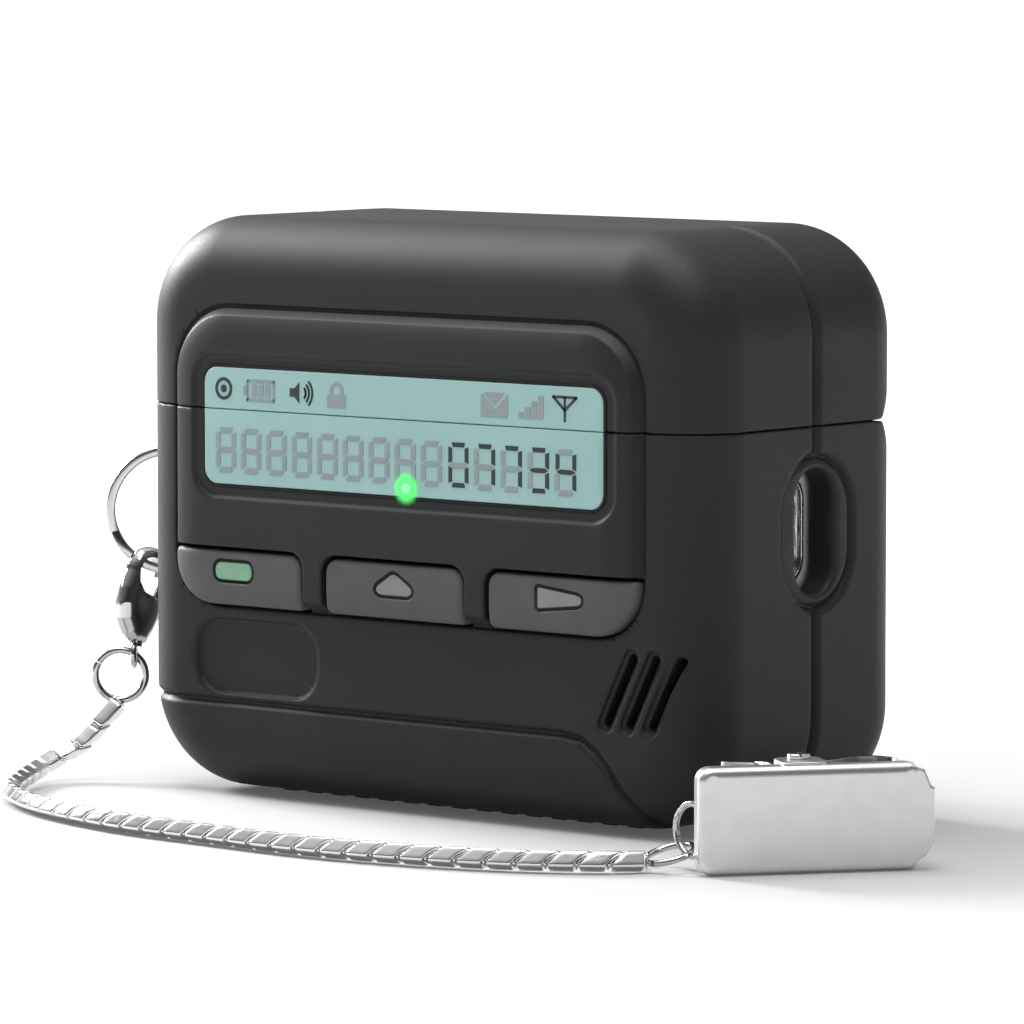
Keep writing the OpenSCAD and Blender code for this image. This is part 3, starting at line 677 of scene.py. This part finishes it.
CLASP_OUTLINE = (arc(0, 0, 2.35, -20, 180, 22)
                 + [(-2.75, -1.6), (-2.95, -3.2), (-2.6, -4.8), (-1.7, -6.1), (-0.8, -6.7), (0.8, -6.7),
                    (1.5, -5.4), (1.9, -4.2), (1.95, -2.6)])
CLASP_EYE = arc(0, 0, 1.4, -30, 180, 16) + [(-1.3, -1.0), (-0.6, -1.9), (0.9, -2.2)]
LEVER_OUTLINE = [(0.25, -4.1), (1.15, -4.2), (1.5, -3.2), (2.5, -2.7), (2.5, -2.3), (1.75, -2.1),
                 (1.95, -0.75), (1.45, -0.65), (1.05, -2.2), (0.2, -3.2)]


def clasp_body(x, y, z):
    shape = swell(polygon_distance(x, z, CLASP_OUTLINE), np.abs(y), 1.7, 1.25)
    eye = polygon_distance(x, z, CLASP_EYE)
    gate = polygon_distance(x, z, [(0.8, -2.6), (4, -2.6), (4, -0.5), (1.3, -0.5), (0.8, -1)])
    slit = hard_max(polygon_distance(x, z, [(-0.3, -5), (3, -5), (3, -2), (-0.3, -2)]), np.abs(y) - 0.42)
    shape = cut(shape, eye, 0.5)
    shape = cut(shape, gate, 0.25)
    shape = cut(shape, slit, 0.12)
    neck = hard_max(hypot(x, y) - 0.62, np.abs(z + 6.75) - 0.3)
    return soft_min(shape, neck, 0.2)


def clasp_lever(x, y, z):
    return prism(polygon_distance(x, z, LEVER_OUTLINE), np.abs(y) - 0.36, 0.14)


def make_clasp():
    body = solid("clasp_shell", (-2.4, -1, -7.2), (2.4, 1, 2.3), 0.07, clasp_body, CLASP)
    finish_piece(body, "body", "chrome_ring", replaces=["clasp_body"])
    lever = solid("clasp_thumb_piece", (0, -0.5, -4.4), (2.7, 0.5, -0.5), 0.05, clasp_lever, CLASP)
    finish_piece(lever, "clasp_thumb_lever", "chrome_ring", replaces=["clasp_lever"])
    eye = hoop("clasp_eye_loop", upright((-37.9, -9.5, 11.57), VIEW_A + 90), 1.05, 0.3, 0.5, 90)
    finish_piece(eye, "body", "chrome_ring", replaces=["clasp_eye"])
    return body, lever, eye


def make_rings():
    rings = [  # name, node, place, radius, wire, gap and where it starts
        ("ring_above_chain", "jump_ring_upper", upright((-38.9, -10.3, 9.6), VIEW_A), 2.35, 0.35, 3, 150),
        ("ring_below_chain", "jump_ring_lower",
         placed((39.3, -26.5, 1.4), (69.6, "Z"), (-16.9, "Y")), 2.15, 0.28, 4, 200),
        ("ring_on_clip", "clip_ring", upright((40.95, -25.45, 3.48), -12.4), 2.25, 0.28, 4, 60),
    ]
    made = []
    for name, node, place, radius, wire, gap, start in rings:
        ring = hoop(name, place, radius, wire, gap, start)
        made.append(finish_piece(ring, "body", "chrome_ring", replaces=[node]))
    return made


TAB_OUTLINE = [(9, 0.3), (10.4, 1.2), (11.2, 2.4), (11.2, 7.0), (10.9, 7.2), (10.3, 8.6), (9, 9.0)]


def clip_plate(x, y, z):
    """A shallow pressed tray with a stepped tab at its right end, lugs and a ring eye behind."""
    flat = rect(x, z, -9.4, 10.35, 0.05, 9.2, 1.25)
    outer = prism(flat, span(y, -3.0, -0.7), 0.7)
    inner = prism(flat + 0.62, span(y, -2.38, 4), 0.3)
    tray = soft_max(outer, -inner, 0.12)
    tray = hard_max(tray, y + 0.75 + np.maximum(x - 8.6, 0) * 2.2)
    tab = prism(polygon_distance(x, z, TAB_OUTLINE), span(y, -2.95, -2.38), 0.2)
    shape = soft_min(tray, tab, 0.15)
    for low in (0.05, 8.85):
        lug = prism(rect(x, y, -2, 2, -2.6, 1.3, (0.2, 1.0, 1.0, 1.0)), span(z, low, low + 0.6), 0.12)
        shape = soft_min(shape, lug, 0.1)
    eye = prism(rect(x, y, -9, -6.9, -2.6, -0.2, (0.1, 0.1, 0.9, 0.9)), span(z, 3.5, 4.1), 0.12)
    shape = soft_min(shape, eye, 0.1)
    shape = cut(shape, hypot(x, y) - 0.82, 0.08)
    return cut(shape, hard_max(hypot(x + 7.9, y + 1) - 0.5, np.abs(z - 3.8) - 1), 0.1)


JAW_LINE = [(-5.55, 3.35), (-3.3, 2.3), (-1.1, 1.3), (0.2, 1.2), (1.35, 1.35), (3.6, 2.8), (6.0, 4.3),
            (7.0, 4.4), (7.95, 4.1), (8.7, 3.3), (9.05, 2.4), (9.1, 0.3), (9.1, -1.9)]


def clip_jaw(x, y, z):
    line = line_distance(x, y, smooth_path([(*p, 0) for p in JAW_LINE], 3)[:, :2].tolist())
    sheet = prism(line - 0.3, span(z - np.clip(y - 1.6, 0, 0.95), 0.8, 8.6), 0.15)
    both_ends = hard_min(span(z, 0.8, 3.0), span(z, 6.4, 8.6))
    barrel = prism(hypot(x, y) - 1.3, both_ends, 0.1)
    arm = prism(rect(x, y, -1.1, 1.1, 0, 1.5, 0.05), both_ends, 0.05)
    shape = soft_min(soft_min(sheet, barrel, 0.3), arm, 0.2)
    shape = cut(shape, hypot(x, y) - 0.85, 0.05)
    return cut(shape, hard_max(hypot(x, y) - 1.9, span(z, 3.0, 6.4)), 0.1)


def clip_pin(x, y, z):
    shaft = prism(hypot(x, y) - 0.8, span(z, 0.1, 9.9), 0.15)
    head = prism(hypot(x, y) - 1.0, span(z, 9.45, 9.9), 0.18)
    slot = hard_max(np.abs(x) - 0.14, 9.7 - z)
    return cut(hard_min(shaft, head), slot, 0.04)


def make_clip():
    plate = solid("clip_front_plate", (-10.2, -3.1, 0), (12, 1.4, 9.5), 0.1, clip_plate, CLIP)
    finish_piece(plate, "body", "clip_satin", replaces=["clip_plate"])
    jaw = solid("clip_sprung_jaw", (-5.9, -2.2, 0.7), (9.6, 4.8, 8.7), 0.1, clip_jaw, CLIP)
    finish_piece(jaw, "clip_back_jaw", "clip_steel", replaces=["clip_jaw"])
    pin = solid("clip_pivot_pin", (-1.1, -1.1, 0), (1.1, 1.1, 10), 0.06, clip_pin, CLIP)
    finish_piece(pin, "body", "clip_steel", replaces=["clip_pin"])
    return plate, jaw, pin


split_ring = make_split_ring()
clasp_pieces = make_clasp()
ring_pieces = make_rings()
clip_pieces = make_clip()


# ---------------------------------------------------------------- cover

GROOVE = [(-40, 8.8), (17.6, 8.8), (19.8, 8.5), (21.55, 7.4), (23.15, 5.7), (26.25, 0.65), (26.9, -1.2)]
KEYS = {  # x0, x1 and corner radii low left, low right, top right, top left
    "left": (-27.75, -11.7, (4.6, 0.7, 1.3, 0.7)),
    "centre": (-8.85, 7.35, (0.9, 0.7, 1.4, 1.4)),
    "right": (10.2, 26.85, (0.9, 4.6, 0.7, 1.3)),
}
KEY_Z = (17.6, 22.8)
KEY_BACK = -12.7


def cover_slab(x, y, z, inset=0.0):
    flat = rect(x, z, -COVER_HALF[0] + inset, COVER_HALF[0] - inset, COVER_Z[0] + inset, COVER_Z[1] - inset,
                COVER_CORNER - inset)
    return prism(flat, np.abs(y - MID_Y) - COVER_HALF[1] + inset, COVER_EDGE - inset)


def case_slab(x, y, z, inset=0.0):
    flat = rect(x, z, -30.3 + inset, 30.3 - inset, 3.9 + inset, 49.1 - inset, 18.0 - inset)
    return prism(flat, np.abs(y - CASE_Y) - 10.85 + inset, 9.0 - inset)


def panel(x, y, z):
    """The raised front panel: a flat top that falls away in a quarter of an ellipse."""
    x0, x1, z0, z1 = PANEL
    flat = rect(x, z, x0, x1, z0 - 1.4, z1, PANEL_CORNERS)
    crown = swell(flat, np.maximum(FACE_Y - y, 0), 4.0, PANEL_OUT)
    return soft_max(crown, rect(x, z, *PANEL, PANEL_CORNERS), 0.5)


def key_outline(x, z, which, grow=0.0):
    x0, x1, radii = KEYS[which]
    return rect(x, z, x0, x1, KEY_Z[0], KEY_Z[1], radii) - grow


def capsule(u, v, a, b, half):
    return line_distance(u, v, [a, b]) - half


def stadium(y, z, cy, cz, w, h):
    return hypot(y - cy, np.maximum(np.abs(z - cz) - (h - w) / 2, 0)) - w / 2


def cover(x, y, z):
    """Outside of the whole cover, with the cuts that both halves share."""
    slab = cover_slab(x, y, z)
    depth = -slab
    shape = hard_min(slab, panel(x, y, z))
    crease = hard_max(np.abs(rect(x, z, *PANEL, PANEL_CORNERS)) + 0.7 * depth - 0.24, y - FACE_Y - 0.6)
    shape = cut(shape, crease, 0.05)
    groove = line_distance(x, z, GROOVE) + 0.95 * depth - 0.5
    shape = cut(shape, groove, 0.2)
    parting = hard_max(np.abs(y - CASE_Y) + 0.8 * depth - 0.6, 4 - z)
    side = np.where(x > 0, 1.0, 0.0).astype(np.float32)
    collar = stadium(y, z, CASE_Y, SLOT_Z, 11.0, 14.0)
    parting = hard_max(parting, -collar * side - 99 * (1 - side))
    shape = cut(shape, parting, 0.35)
    fade = np.clip((y + 2.6) / 3.2, 0, 1)
    ring = np.abs(stadium(y, z, CASE_Y, SLOT_Z, 10.3, 13.3)) + 0.8 * depth
    ring = ring - 0.55 * fade + 0.12 * (1 - fade)
    shape = cut(shape, hard_max(ring, 20 - x), 0.35)
    dish = prism(rect(x, z, -24.5, 24.5, 27.7, 40.6, 2.6), y - PANEL_Y - 0.32, 0.25)
    shape = cut(shape, dish, 0.45)
    pocket = hard_max(rect(x, z, -23.35, 23.35, 28.8, 39.55, 1.5), y - PANEL_Y - 1.25)
    shape = cut(shape, pocket, 0.06)
    return hard_max(shape, -(case_slab(x, y, z) - 0.1))


def hinge_window(x, y, z):
    return hard_max(np.abs(x) - 13, 12 - y, np.abs(z - SEAM_Z) - 2)


def body_cover(x, y, z):
    shape = cover(x, y, z)
    for which in KEYS:
        hole = hard_max(key_outline(x, z, which, 0.3), rect(x, z, *PANEL, PANEL_CORNERS), y + 11.9)
        shape = cut(shape, hole, 0.2)
    for k in range(3):
        a, b = (22.6 + 2.5 * k, 10.1), (25.5 + 2.5 * k, 16.0)
        shape = cut(shape, prism(capsule(x, z, a, b, 0.78), y - FACE_Y - 0.4, 0.2), 0.25)
        shape = cut(shape, hard_max(capsule(x, z, a, b, 0.4), y + 11.6), 0.12)
    logo = prism(rect(x, z, -25.35, -10.9, 9.55, 16.35, 2.8), y - FACE_Y - 0.5, 0.3)
    shape = cut(shape, logo, 0.5)
    slot = hard_max(stadium(y, z, CASE_Y, SLOT_Z, 5.6, 11.0), 20 - x)
    shape = cut(shape, slot, 0.8)
    shape = cut(shape, hinge_window(x, y, z), 0.3)
    shape = cut(shape, hard_max(hypot(x, z - 22) - 3.2, 5 - y), 0.8)
    shape = cut(shape, hard_max(rect(x, y, -6, 6, CASE_Y - 3, CASE_Y + 3, 1.5), z - 10), 0.3)
    shape = cut(shape, hard_max(rect(x, y, -23.7, 23.7, MID_Y - 8.7, MID_Y + 8.7, 3), z - 1.5), 0.2)
    shape = cut(shape, hard_max(hypot(x - LED_X, z - LED_Z) - 0.5, y + 8), 0.05)
    bar_pocket = hard_max(span(y, -5.3, -1.95), np.abs(z - 25) - 5.3, x + 30.75)
    bar = prism(hypot(x + 33.0, z - 25) - 0.75, span(y, -6, -1), 0.1)
    shape = hard_min(cut(shape, bar_pocket, 0.6), hard_max(bar, shape - 1.2))
    top = z - (SEAM_Z - SEAM_GAP / 2)
    bevel = (y - BEVEL_Y + top) * math.sqrt(0.5)
    return soft_max(soft_max(shape, top, 0.16), bevel, 1.4)


def lid_cover(x, y, z):
    shape = cover(x, y, z)
    shape = cut(shape, hinge_window(x, y, z), 0.3)
    under = (SEAM_Z + SEAM_GAP / 2) - z
    bevel = (y - BEVEL_Y + under) * math.sqrt(0.5)
    return soft_max(soft_max(shape, under, 0.16), bevel, 1.4)


def make_cover():
    lower = solid("cover_lower", (-33.5, -15.9, 0.4), (33.5, 15.9, 35.8), 0.22, body_cover)
    finish_piece(lower, "body", "silicone_dark", replaces=["body_cover"])
    upper = solid("cover_upper", (-33.5, -15.9, 35.6), (33.5, 15.9, 53.0), 0.22, lid_cover)
    finish_piece(upper, "lid", "silicone_dark", replaces=["lid_cover"])


make_cover()


def lanyard_insert(x, y, z):
    """The metal eyelet seen in the side slot: a rim, two round wells and the bar between them."""
    plate = prism(stadium(y, z, CASE_Y, SLOT_Z, 4.9, 9.8), span(x, 28.4, 30.3), 0.12)
    wells = hard_min(*(hypot(y - CASE_Y, z - SLOT_Z - s * 2.3) - 1.75 for s in (-1, 1)))
    shape = cut(plate, hard_max(wells, 28.9 - x), 0.15)
    sunk = hard_max(stadium(y, z, CASE_Y, SLOT_Z, 4.1, 9.0), 29.8 - x)
    return cut(shape, sunk, 0.12)


insert = solid("lanyard_eyelet", (28.3, -1.1, 21.3), (30.5, 4.2, 31.5), 0.1, lanyard_insert)
finish_piece(insert, "body", "insert_steel", replaces=["lanyard_insert"])


# ---------------------------------------------------------------- keys

HOUSE = [(-2.35, 19.8), (1.0, 19.8), (1.6, 20.2), (1.4, 20.75), (-0.45, 21.9), (-0.95, 21.9),
         (-2.75, 20.75), (-2.95, 20.2)]
WEDGE = [(15.8, 19.75), (20.5, 20.25), (20.95, 20.5), (20.95, 21.1), (20.5, 21.35), (15.8, 21.85)]
OVAL = (arc(-18.3, 21.05, 0.75, 0, 90, 5) + arc(-21.4, 21.05, 0.75, 90, 180, 5)
        + arc(-21.4, 20.75, 0.75, 180, 270, 5) + arc(-18.3, 20.75, 0.75, 270, 360, 5))
MARKS = {"left": OVAL, "centre": rounded(HOUSE), "right": rounded(WEDGE)}
MARK_Y = PANEL_Y + 0.16


def key_solid(which):
    """One soft key: its front follows the panel, and its mark is outlined by a fine groove."""
    mark = MARKS[which]

    def field(x, y, z):
        front = panel(x, y - 0.12, z)
        shape = soft_max(front, key_outline(x, z, which), 0.55)
        shape = hard_max(shape, y - KEY_BACK)
        hole = hard_max(polygon_distance(x, z, mark) - 0.2, y - PANEL_Y - 0.5)
        return cut(shape, hole, 0.05)

    return field


def make_keys():
    bodies = {"left": "left_key", "centre": "centre_key", "right": "right_key"}
    for which, body in bodies.items():
        x0, x1 = KEYS[which][:2]
        low, high = (x0, -15.9, KEY_Z[0]), (x1, KEY_BACK, KEY_Z[1])
        key = solid(f"key_{which}_cap", low, high, 0.12, key_solid(which))
        finish_piece(key, body, "key_rubber", replaces=[f"key_{which}"])
        make_mark(which, body)


def make_mark(which, body):
    """A key's mark: a filled shape in a recess whose floor is painted near-black as shade, which reads as
    its outline.
    """
    mark = MARKS[which]
    centre = sum(p[0] for p in mark) / len(mark)

    def floor(x, y, z):
        return hard_max(polygon_distance(x, z, mark) - 0.23, span(y, MARK_Y + 0.12, MARK_Y + 0.45))

    def fill(x, y, z):
        return prism(polygon_distance(x, z, mark) + 0.1, span(y, MARK_Y, MARK_Y + 0.6), 0.12)

    low, high = (centre - 3.0, MARK_Y - 0.1, 19.3), (centre + 3.0, MARK_Y + 0.7, 22.4)
    # The recess floor is painted shade: near-black where the groove lies in shadow.
    groove_shade = solid(f"key_{which}_mark_groove_shade", low, high, 0.08, floor)
    finish_piece(groove_shade, body, "key_rubber", "gap_painted_shade")
    face = solid(f"key_{which}_mark", low, high, 0.07, fill)
    if which == "left":
        finish_piece(face, body, "key_lens", replaces=["key_window"])
    else:
        finish_piece(face, body, "key_rubber", "key_mark")


make_keys()


# ---------------------------------------------------------------- screen

SCREEN = (-23.3, 23.3, 28.85, 39.5)


def screen_glass(x, y, z):
    return prism(rect(x, z, *SCREEN, 1.45), span(y, SCREEN_Y, PANEL_Y + 1.2), 0.12)


def make_screen():
    """The printed screen, in two pieces that part at the seam, and a dark line round each that is painted
    shade in the gap.
    """
    def lower(x, y, z):
        hole = hard_max(hypot(x - LED_X, z - LED_Z) - 0.5, y + 8)
        return hard_max(screen_glass(x, y, z), z - SEAM_Z + SEAM_GAP / 2, -hole)

    def upper(x, y, z):
        return hard_max(screen_glass(x, y, z), SEAM_Z + SEAM_GAP / 2 - z)

    def rim(x, y, z):
        line = np.abs(rect(x, z, *SCREEN, 1.45) - 0.14) - 0.14
        return prism(line, span(y, SCREEN_Y + 0.06, SCREEN_Y + 0.4), 0.04)

    def rim_lower(x, y, z):
        return hard_max(rim(x, y, z), z - SEAM_Z + SEAM_GAP / 2)

    def rim_upper(x, y, z):
        return hard_max(rim(x, y, z), SEAM_Z + SEAM_GAP / 2 - z)

    low, high = (-23.7, SCREEN_Y, 28.4), (23.7, PANEL_Y + 1.3, 40.0)
    for name, body, node, glass, edge in (
            ("lower", "body", "screen_lower", lower, rim_lower),
            ("upper", "lid", "screen_upper", upper, rim_upper)):
        piece = solid(f"screen_{name}_glass", low, high, 0.12, glass, thin=0.002)
        finish_piece(piece, body, "screen_print", replaces=[node])
        # Painted shade: a near-black strip in the gap between the screen and its pocket.
        line = solid(f"screen_{name}_rim", low, high, 0.1, edge, thin=0.002)
        finish_piece(line, body, "silicone_dark", "gap_painted_shade")


make_screen()

# Seven-segment figures: which bars light up, in the order top, upper left, upper right, middle,
# lower left, lower right, bottom
LIT = {0: "1110111", 3: "1011011", 4: "0111010", 7: "1010010"}
DIGIT_PITCH = 3.06
DIGIT_W = 2.3
DIGIT_H = 4.0
STROKE = 0.42
DIGIT_Z = 32.0
FIRST_DIGIT = -20.6
SHOWN = [None] * 9 + [0, 7, 7, 3, 4]


def bars(cx, cz):
    """The seven bars of one figure, as flat outlines."""
    w, h, t, g = DIGIT_W / 2, DIGIT_H / 2, STROKE, 0.09
    c = 0.3
    top = [(-w + c + g, h), (w - c - g, h), (w - t - g, h - t), (-w + t + g, h - t)]
    upper = [(-w, h - c - g), (-w + t, h - t - g), (-w + t, t / 2 + g), (-w, g + 0.06)]
    middle = [(-w + g, 0), (-w + t + g, t / 2), (w - t - g, t / 2), (w - g, 0), (w - t - g, -t / 2),
              (-w + t + g, -t / 2)]

    def mirror_x(shape):
        return [(-u, v) for u, v in shape]

    def mirror_z(shape):
        return [(u, -v) for u, v in shape]

    lower = mirror_z(upper)
    shapes = [top, upper, mirror_x(upper), middle, lower, mirror_x(lower), mirror_z(top)]
    return [[(cx + u, cz + v) for u, v in shape] for shape in shapes]


def shifted(outlines, du, dv):
    return [[(u + du, v + dv) for u, v in outline] for outline in outlines]


def print_layer(name, outlines, level, look, body):
    """Flat ink on the screen: level 0 lies on the glass, and each level stands 0.02 mm further out."""
    piece = prism_mesh(name, outlines, SCREEN_Y - 0.02 * (level + 1), SCREEN_Y + 0.01)
    return finish_piece(piece, body, "screen_print", look)


def ring_outline(cu, cv, r_out, r_in, n=32):
    """A ring cut into wedges, so that each outline is simple."""
    out = []
    for k in range(n):
        a, b = 2 * math.pi * k / n, 2 * math.pi * (k + 1) / n
        out.append([(cu + r * math.cos(t), cv + r * math.sin(t))
                    for r, t in ((r_in, a), (r_out, a), (r_out, b), (r_in, b))])
    return out


def stroke(points, half):
    """A line as short quads."""
    out = []
    for (u0, v0), (u1, v1) in zip(points[:-1], points[1:]):
        length = math.hypot(u1 - u0, v1 - v0)
        du, dv = (u1 - u0) / length, (v1 - v0) / length
        u0, v0 = u0 - du * half * 0.6, v0 - dv * half * 0.6
        u1, v1 = u1 + du * half * 0.6, v1 + dv * half * 0.6
        out.append([(u0 - dv * half, v0 + du * half), (u1 - dv * half, v1 + du * half),
                    (u1 + dv * half, v1 - du * half), (u0 + dv * half, v0 - du * half)])
    return out


def box_outline(u0, u1, v0, v1):
    return [(u0, v0), (u1, v0), (u1, v1), (u0, v1)]


ICON_Z = 37.55


def icon_target(u, v):
    return ring_outline(u, v, 1.03, 0.72) + ring_outline(u, v, 0.36, 0.0)


def icon_battery(u, v):
    shell = stroke([(u - 1.55, v - 0.85), (u + 1.6, v - 0.85), (u + 1.6, v + 0.85), (u - 1.55, v + 0.85),
                    (u - 1.55, v - 0.85)], 0.11)
    cells = [box_outline(u - 1.0 + 0.8 * k, u - 0.45 + 0.8 * k, v - 0.5, v + 0.5) for k in range(3)]
    return shell + cells + [box_outline(u - 2.0, u - 1.6, v - 0.4, v + 0.4)]


def icon_speaker(u, v):
    horn = [(u - 1.4, v - 0.38), (u - 0.85, v - 0.38), (u - 0.25, v - 0.95), (u - 0.25, v + 0.95),
            (u - 0.85, v + 0.38), (u - 1.4, v + 0.38)]
    waves = []
    for r, a in ((0.65, 42), (1.05, 45), (1.45, 46)):
        waves += stroke(arc(u - 0.15, v, r, -a, a, 8), 0.1)
    return [horn] + waves


def icon_lock(u, v):
    """Pieces that meet edge to edge, so that no two flat faces overlap."""
    circle = ring_outline(u, v + 0.4, 0.78, 0.46)
    hoop_top = [quad for quad in circle if min(q[1] for q in quad) > v + 0.399]
    legs = [box_outline(u - 0.78, u - 0.46, v, v + 0.4), box_outline(u + 0.46, u + 0.78, v, v + 0.4)]
    return hoop_top + legs + [box_outline(u - 1.05, u + 1.05, v - 1.1, v)]


def icon_envelope(u, v):
    """The flap is a triangle, and a clear V parts it from the body."""
    flap = [(u - 1.15, v + 1.05), (u, v - 0.02), (u + 1.15, v + 1.05)]
    left = [(u - 1.5, v + 0.95), (u - 1.5, v - 1.05), (u, v - 1.05), (u, v - 0.5)]
    right = [(u + 1.5, v + 0.95), (u, v - 0.5), (u, v - 1.05), (u + 1.5, v - 1.05)]
    return [flap, left, right]


def icon_bars(u, v):
    starts = [u - 1.4 + 0.74 * k for k in range(4)]
    return [box_outline(a, a + 0.52, v - 1.0, v - 0.55 + 0.52 * k) for k, a in enumerate(starts)]


def icon_antenna(u, v):
    return stroke([(u - 1.3, v + 1.0), (u + 1.3, v + 1.0), (u, v - 0.15), (u - 1.3, v + 1.0)], 0.12) \
        + stroke([(u, v + 1.0), (u, v - 1.1)], 0.12)


def make_print():
    ghost, lit = [], []
    for k, figure in enumerate(SHOWN):
        mask = LIT.get(figure, "0000000")
        for bar, on in zip(bars(FIRST_DIGIT + DIGIT_PITCH * k, DIGIT_Z), mask):
            (lit if on == "1" else ghost).append(bar)
    print_layer("figures_shadow", shifted(ghost, -0.17, -0.14), 0, "ink_shadow", "body")
    print_layer("figures_ghost", ghost, 1, "ink_ghost", "body")
    print_layer("figures_lit", lit, 1, "ink_dark", "body")
    pale = icon_battery(-16.4, ICON_Z) + icon_lock(-7.3, ICON_Z) + icon_envelope(11.1, ICON_Z) \
        + icon_bars(15.3, ICON_Z)
    dark = icon_target(-20.9, ICON_Z) + icon_speaker(-11.5, ICON_Z) + icon_antenna(19.05, ICON_Z)
    print_layer("icons_shadow", shifted(pale, -0.12, -0.12), 0, "ink_shadow", "lid")
    print_layer("icons_ghost", pale, 1, "ink_ghost", "lid")
    print_layer("icons_dark", dark, 1, "ink_dark", "lid")


make_print()


def make_lamp():
    """The lit end of the light pipe and the glow round it."""
    def dome(x, y, z):
        return hypot(hypot(x - LED_X, z - LED_Z), (y - SCREEN_Y) * 2.2) - 0.47

    lamp = solid("lamp_dome", (0.3, SCREEN_Y - 0.25, 29.0), (1.5, SCREEN_Y + 0.25, 30.2), 0.05, dome)
    finish_piece(lamp, "body", "pipe_clear")
    lamp.data.materials[0] = glow()
    outline = [(LED_X + u, LED_Z + v) for u, v in arc(0, 0, HALO_R, 0, 350, 35)]
    disc = prism_mesh("lamp_halo", [outline], SCREEN_Y - 0.075, SCREEN_Y - 0.07)
    finish_piece(disc, "body", "pipe_clear")
    disc.data.materials[0] = halo()


make_lamp()


# ---------------------------------------------------------------- CAD nodes that stay

def dress(look, names, bevel):
    """A CAD node keeps its shape, gets its material, and has its edges broken."""
    for name in names:
        node = NODES[name]
        node.data.materials.clear()
        node.data.materials.append(LOOKS[look])
        if bevel:
            made = node.modifiers.new("edges", "BEVEL")
            made.width = bevel * MM
            made.segments = 2
            made.limit_method = "ANGLE"
            made.angle_limit = math.radians(40)
            made.harden_normals = True


KEPT = [  # look, width of the broken edges, nodes
    ("tread_rubber", 0.15, ["base_tread"]),
    ("case_white", 0, ["case_shell", "lid_shell"]),
    ("liner_white", 0, ["case_cradle", "lid_liner"]),
    ("hinge_steel", 0.06, ["hinge_leaf_body", "hinge_leaf_lid", "hinge_pin"]),
    ("case_white", 0.12, ["pairing_button"]),
    ("cell_foil", 0.2, ["battery_cell"]),
    ("board_green", 0.05, ["main_board"]),
    ("screw_steel", 0.05, ["board_screws"]),
    ("coil_copper", 0.1, ["charge_coil"]),
    ("ferrite_dark", 0.08, ["coil_ferrite"]),
    ("insert_steel", 0.06, ["usb_port"]),
    ("led_body", 0.03, ["status_led"]),
    ("pipe_clear", 0.03, ["light_pipe"]),
    ("speaker_black", 0.15, ["case_speaker"]),
    ("magnet_nickel", 0.1, ["case_magnets", "lid_magnets"]),
    ("pin_gold", 0.06, ["charge_pins"]),
    ("bud_white", 0, ["bud_left_shell", "bud_right_shell"]),
    ("tip_soft", 0, ["bud_left_tip", "bud_right_tip"]),
    ("grille_black", 0.05, ["bud_left_grille", "bud_right_grille"]),
    ("contact_metal", 0.1, ["bud_left_contact", "bud_right_contact"]),
    ("spring_steel", 0, ["clasp_spring", "clip_spring"]),
]
for kept_look, edge_width, kept_nodes in KEPT:
    dress(kept_look, kept_nodes, edge_width)


# ---------------------------------------------------------------- studio

def make_floor():
    """A pale table that glows further out, so that only the shadows near the part show."""
    bpy.ops.mesh.primitive_plane_add(size=6.0, location=(0, 0, -0.00002))
    floor = bpy.context.object
    floor.name = "studio_floor"
    look = Look("floor_pale", grey(0.4), 0.6, Specular_IOR_Level=0.1)
    look.tint(look.spots(60.0), grey(0.395), grey(0.405))
    lift = look.spread(look.distance(look.place), 0.08, 0.9, 0.05, 0.16, "SMOOTHSTEP")
    look.set("Emission Color", (1, 1, 1, 1))
    look.link(lift, look.shader.inputs["Emission Strength"])
    floor.data.materials.append(look.material)


def lamp(name, position, aim, size, power, color=(1, 1, 1)):
    data = bpy.data.lights.new(name, "AREA")
    data.shape = "RECTANGLE"
    data.size, data.size_y = size
    data.energy = power
    data.color = color
    made = bpy.data.objects.new(name, data)
    made.location = position
    made.rotation_euler = (Vector(aim) - Vector(position)).to_track_quat("-Z", "Y").to_euler()
    bpy.context.scene.collection.objects.link(made)


def make_sky():
    """A white studio with a darker band low down in front, for bright metal to reflect."""
    world = bpy.data.worlds.new("studio")
    bpy.context.scene.world = world
    world.use_nodes = True
    tree = world.node_tree
    back = tree.nodes["Background"]
    place = tree.nodes.new("ShaderNodeTexCoord")
    split = tree.nodes.new("ShaderNodeSeparateXYZ")
    ramp = tree.nodes.new("ShaderNodeValToRGB")
    tree.links.new(place.outputs["Generated"], split.inputs[0])
    height = map_range(tree, split.outputs["Z"], (-1.0, 1.0), (0.0, 1.0))
    tree.links.new(height, ramp.inputs[0])
    face = tree.nodes.new("ShaderNodeVectorMath")
    face.operation = "DOT_PRODUCT"
    face.inputs[1].default_value = (0.8, -0.6, 0.0)
    tree.links.new(place.outputs["Generated"], face.inputs[0])
    dim = map_range(tree, face.outputs["Value"], (0.0, 0.9), (1.0, 0.25))
    both = tree.nodes.new("ShaderNodeVectorMath")
    both.operation = "SCALE"
    tree.links.new(ramp.outputs[0], both.inputs[0])
    tree.links.new(dim, both.inputs["Scale"])
    tree.links.new(both.outputs[0], back.inputs["Color"])
    ramp.color_ramp.elements[0].position = 0.0
    ramp.color_ramp.elements[0].color = (0.9, 0.9, 0.9, 1)
    ramp.color_ramp.elements[1].position = 1.0
    ramp.color_ramp.elements[1].color = (1.9, 1.9, 1.9, 1)
    for at, value in ((0.5, 1.6), (0.53, 1.5), (0.56, 0.3), (0.66, 0.22), (0.82, 0.9)):
        ramp.color_ramp.elements.new(at).color = (value, value, value, 1)
    back.inputs["Strength"].default_value = 0.66


make_floor()
make_sky()
lamp("softbox_top", (-0.02, -0.06, 0.4), (0, 0, 0.03), (0.5, 0.2), 1.9)
lamp("softbox_left", (-0.5, 0.02, 0.26), (0, 0, 0.02), (0.2, 0.2), 7.0)

view = bpy.context.scene.view_settings
view.view_transform = "Standard"
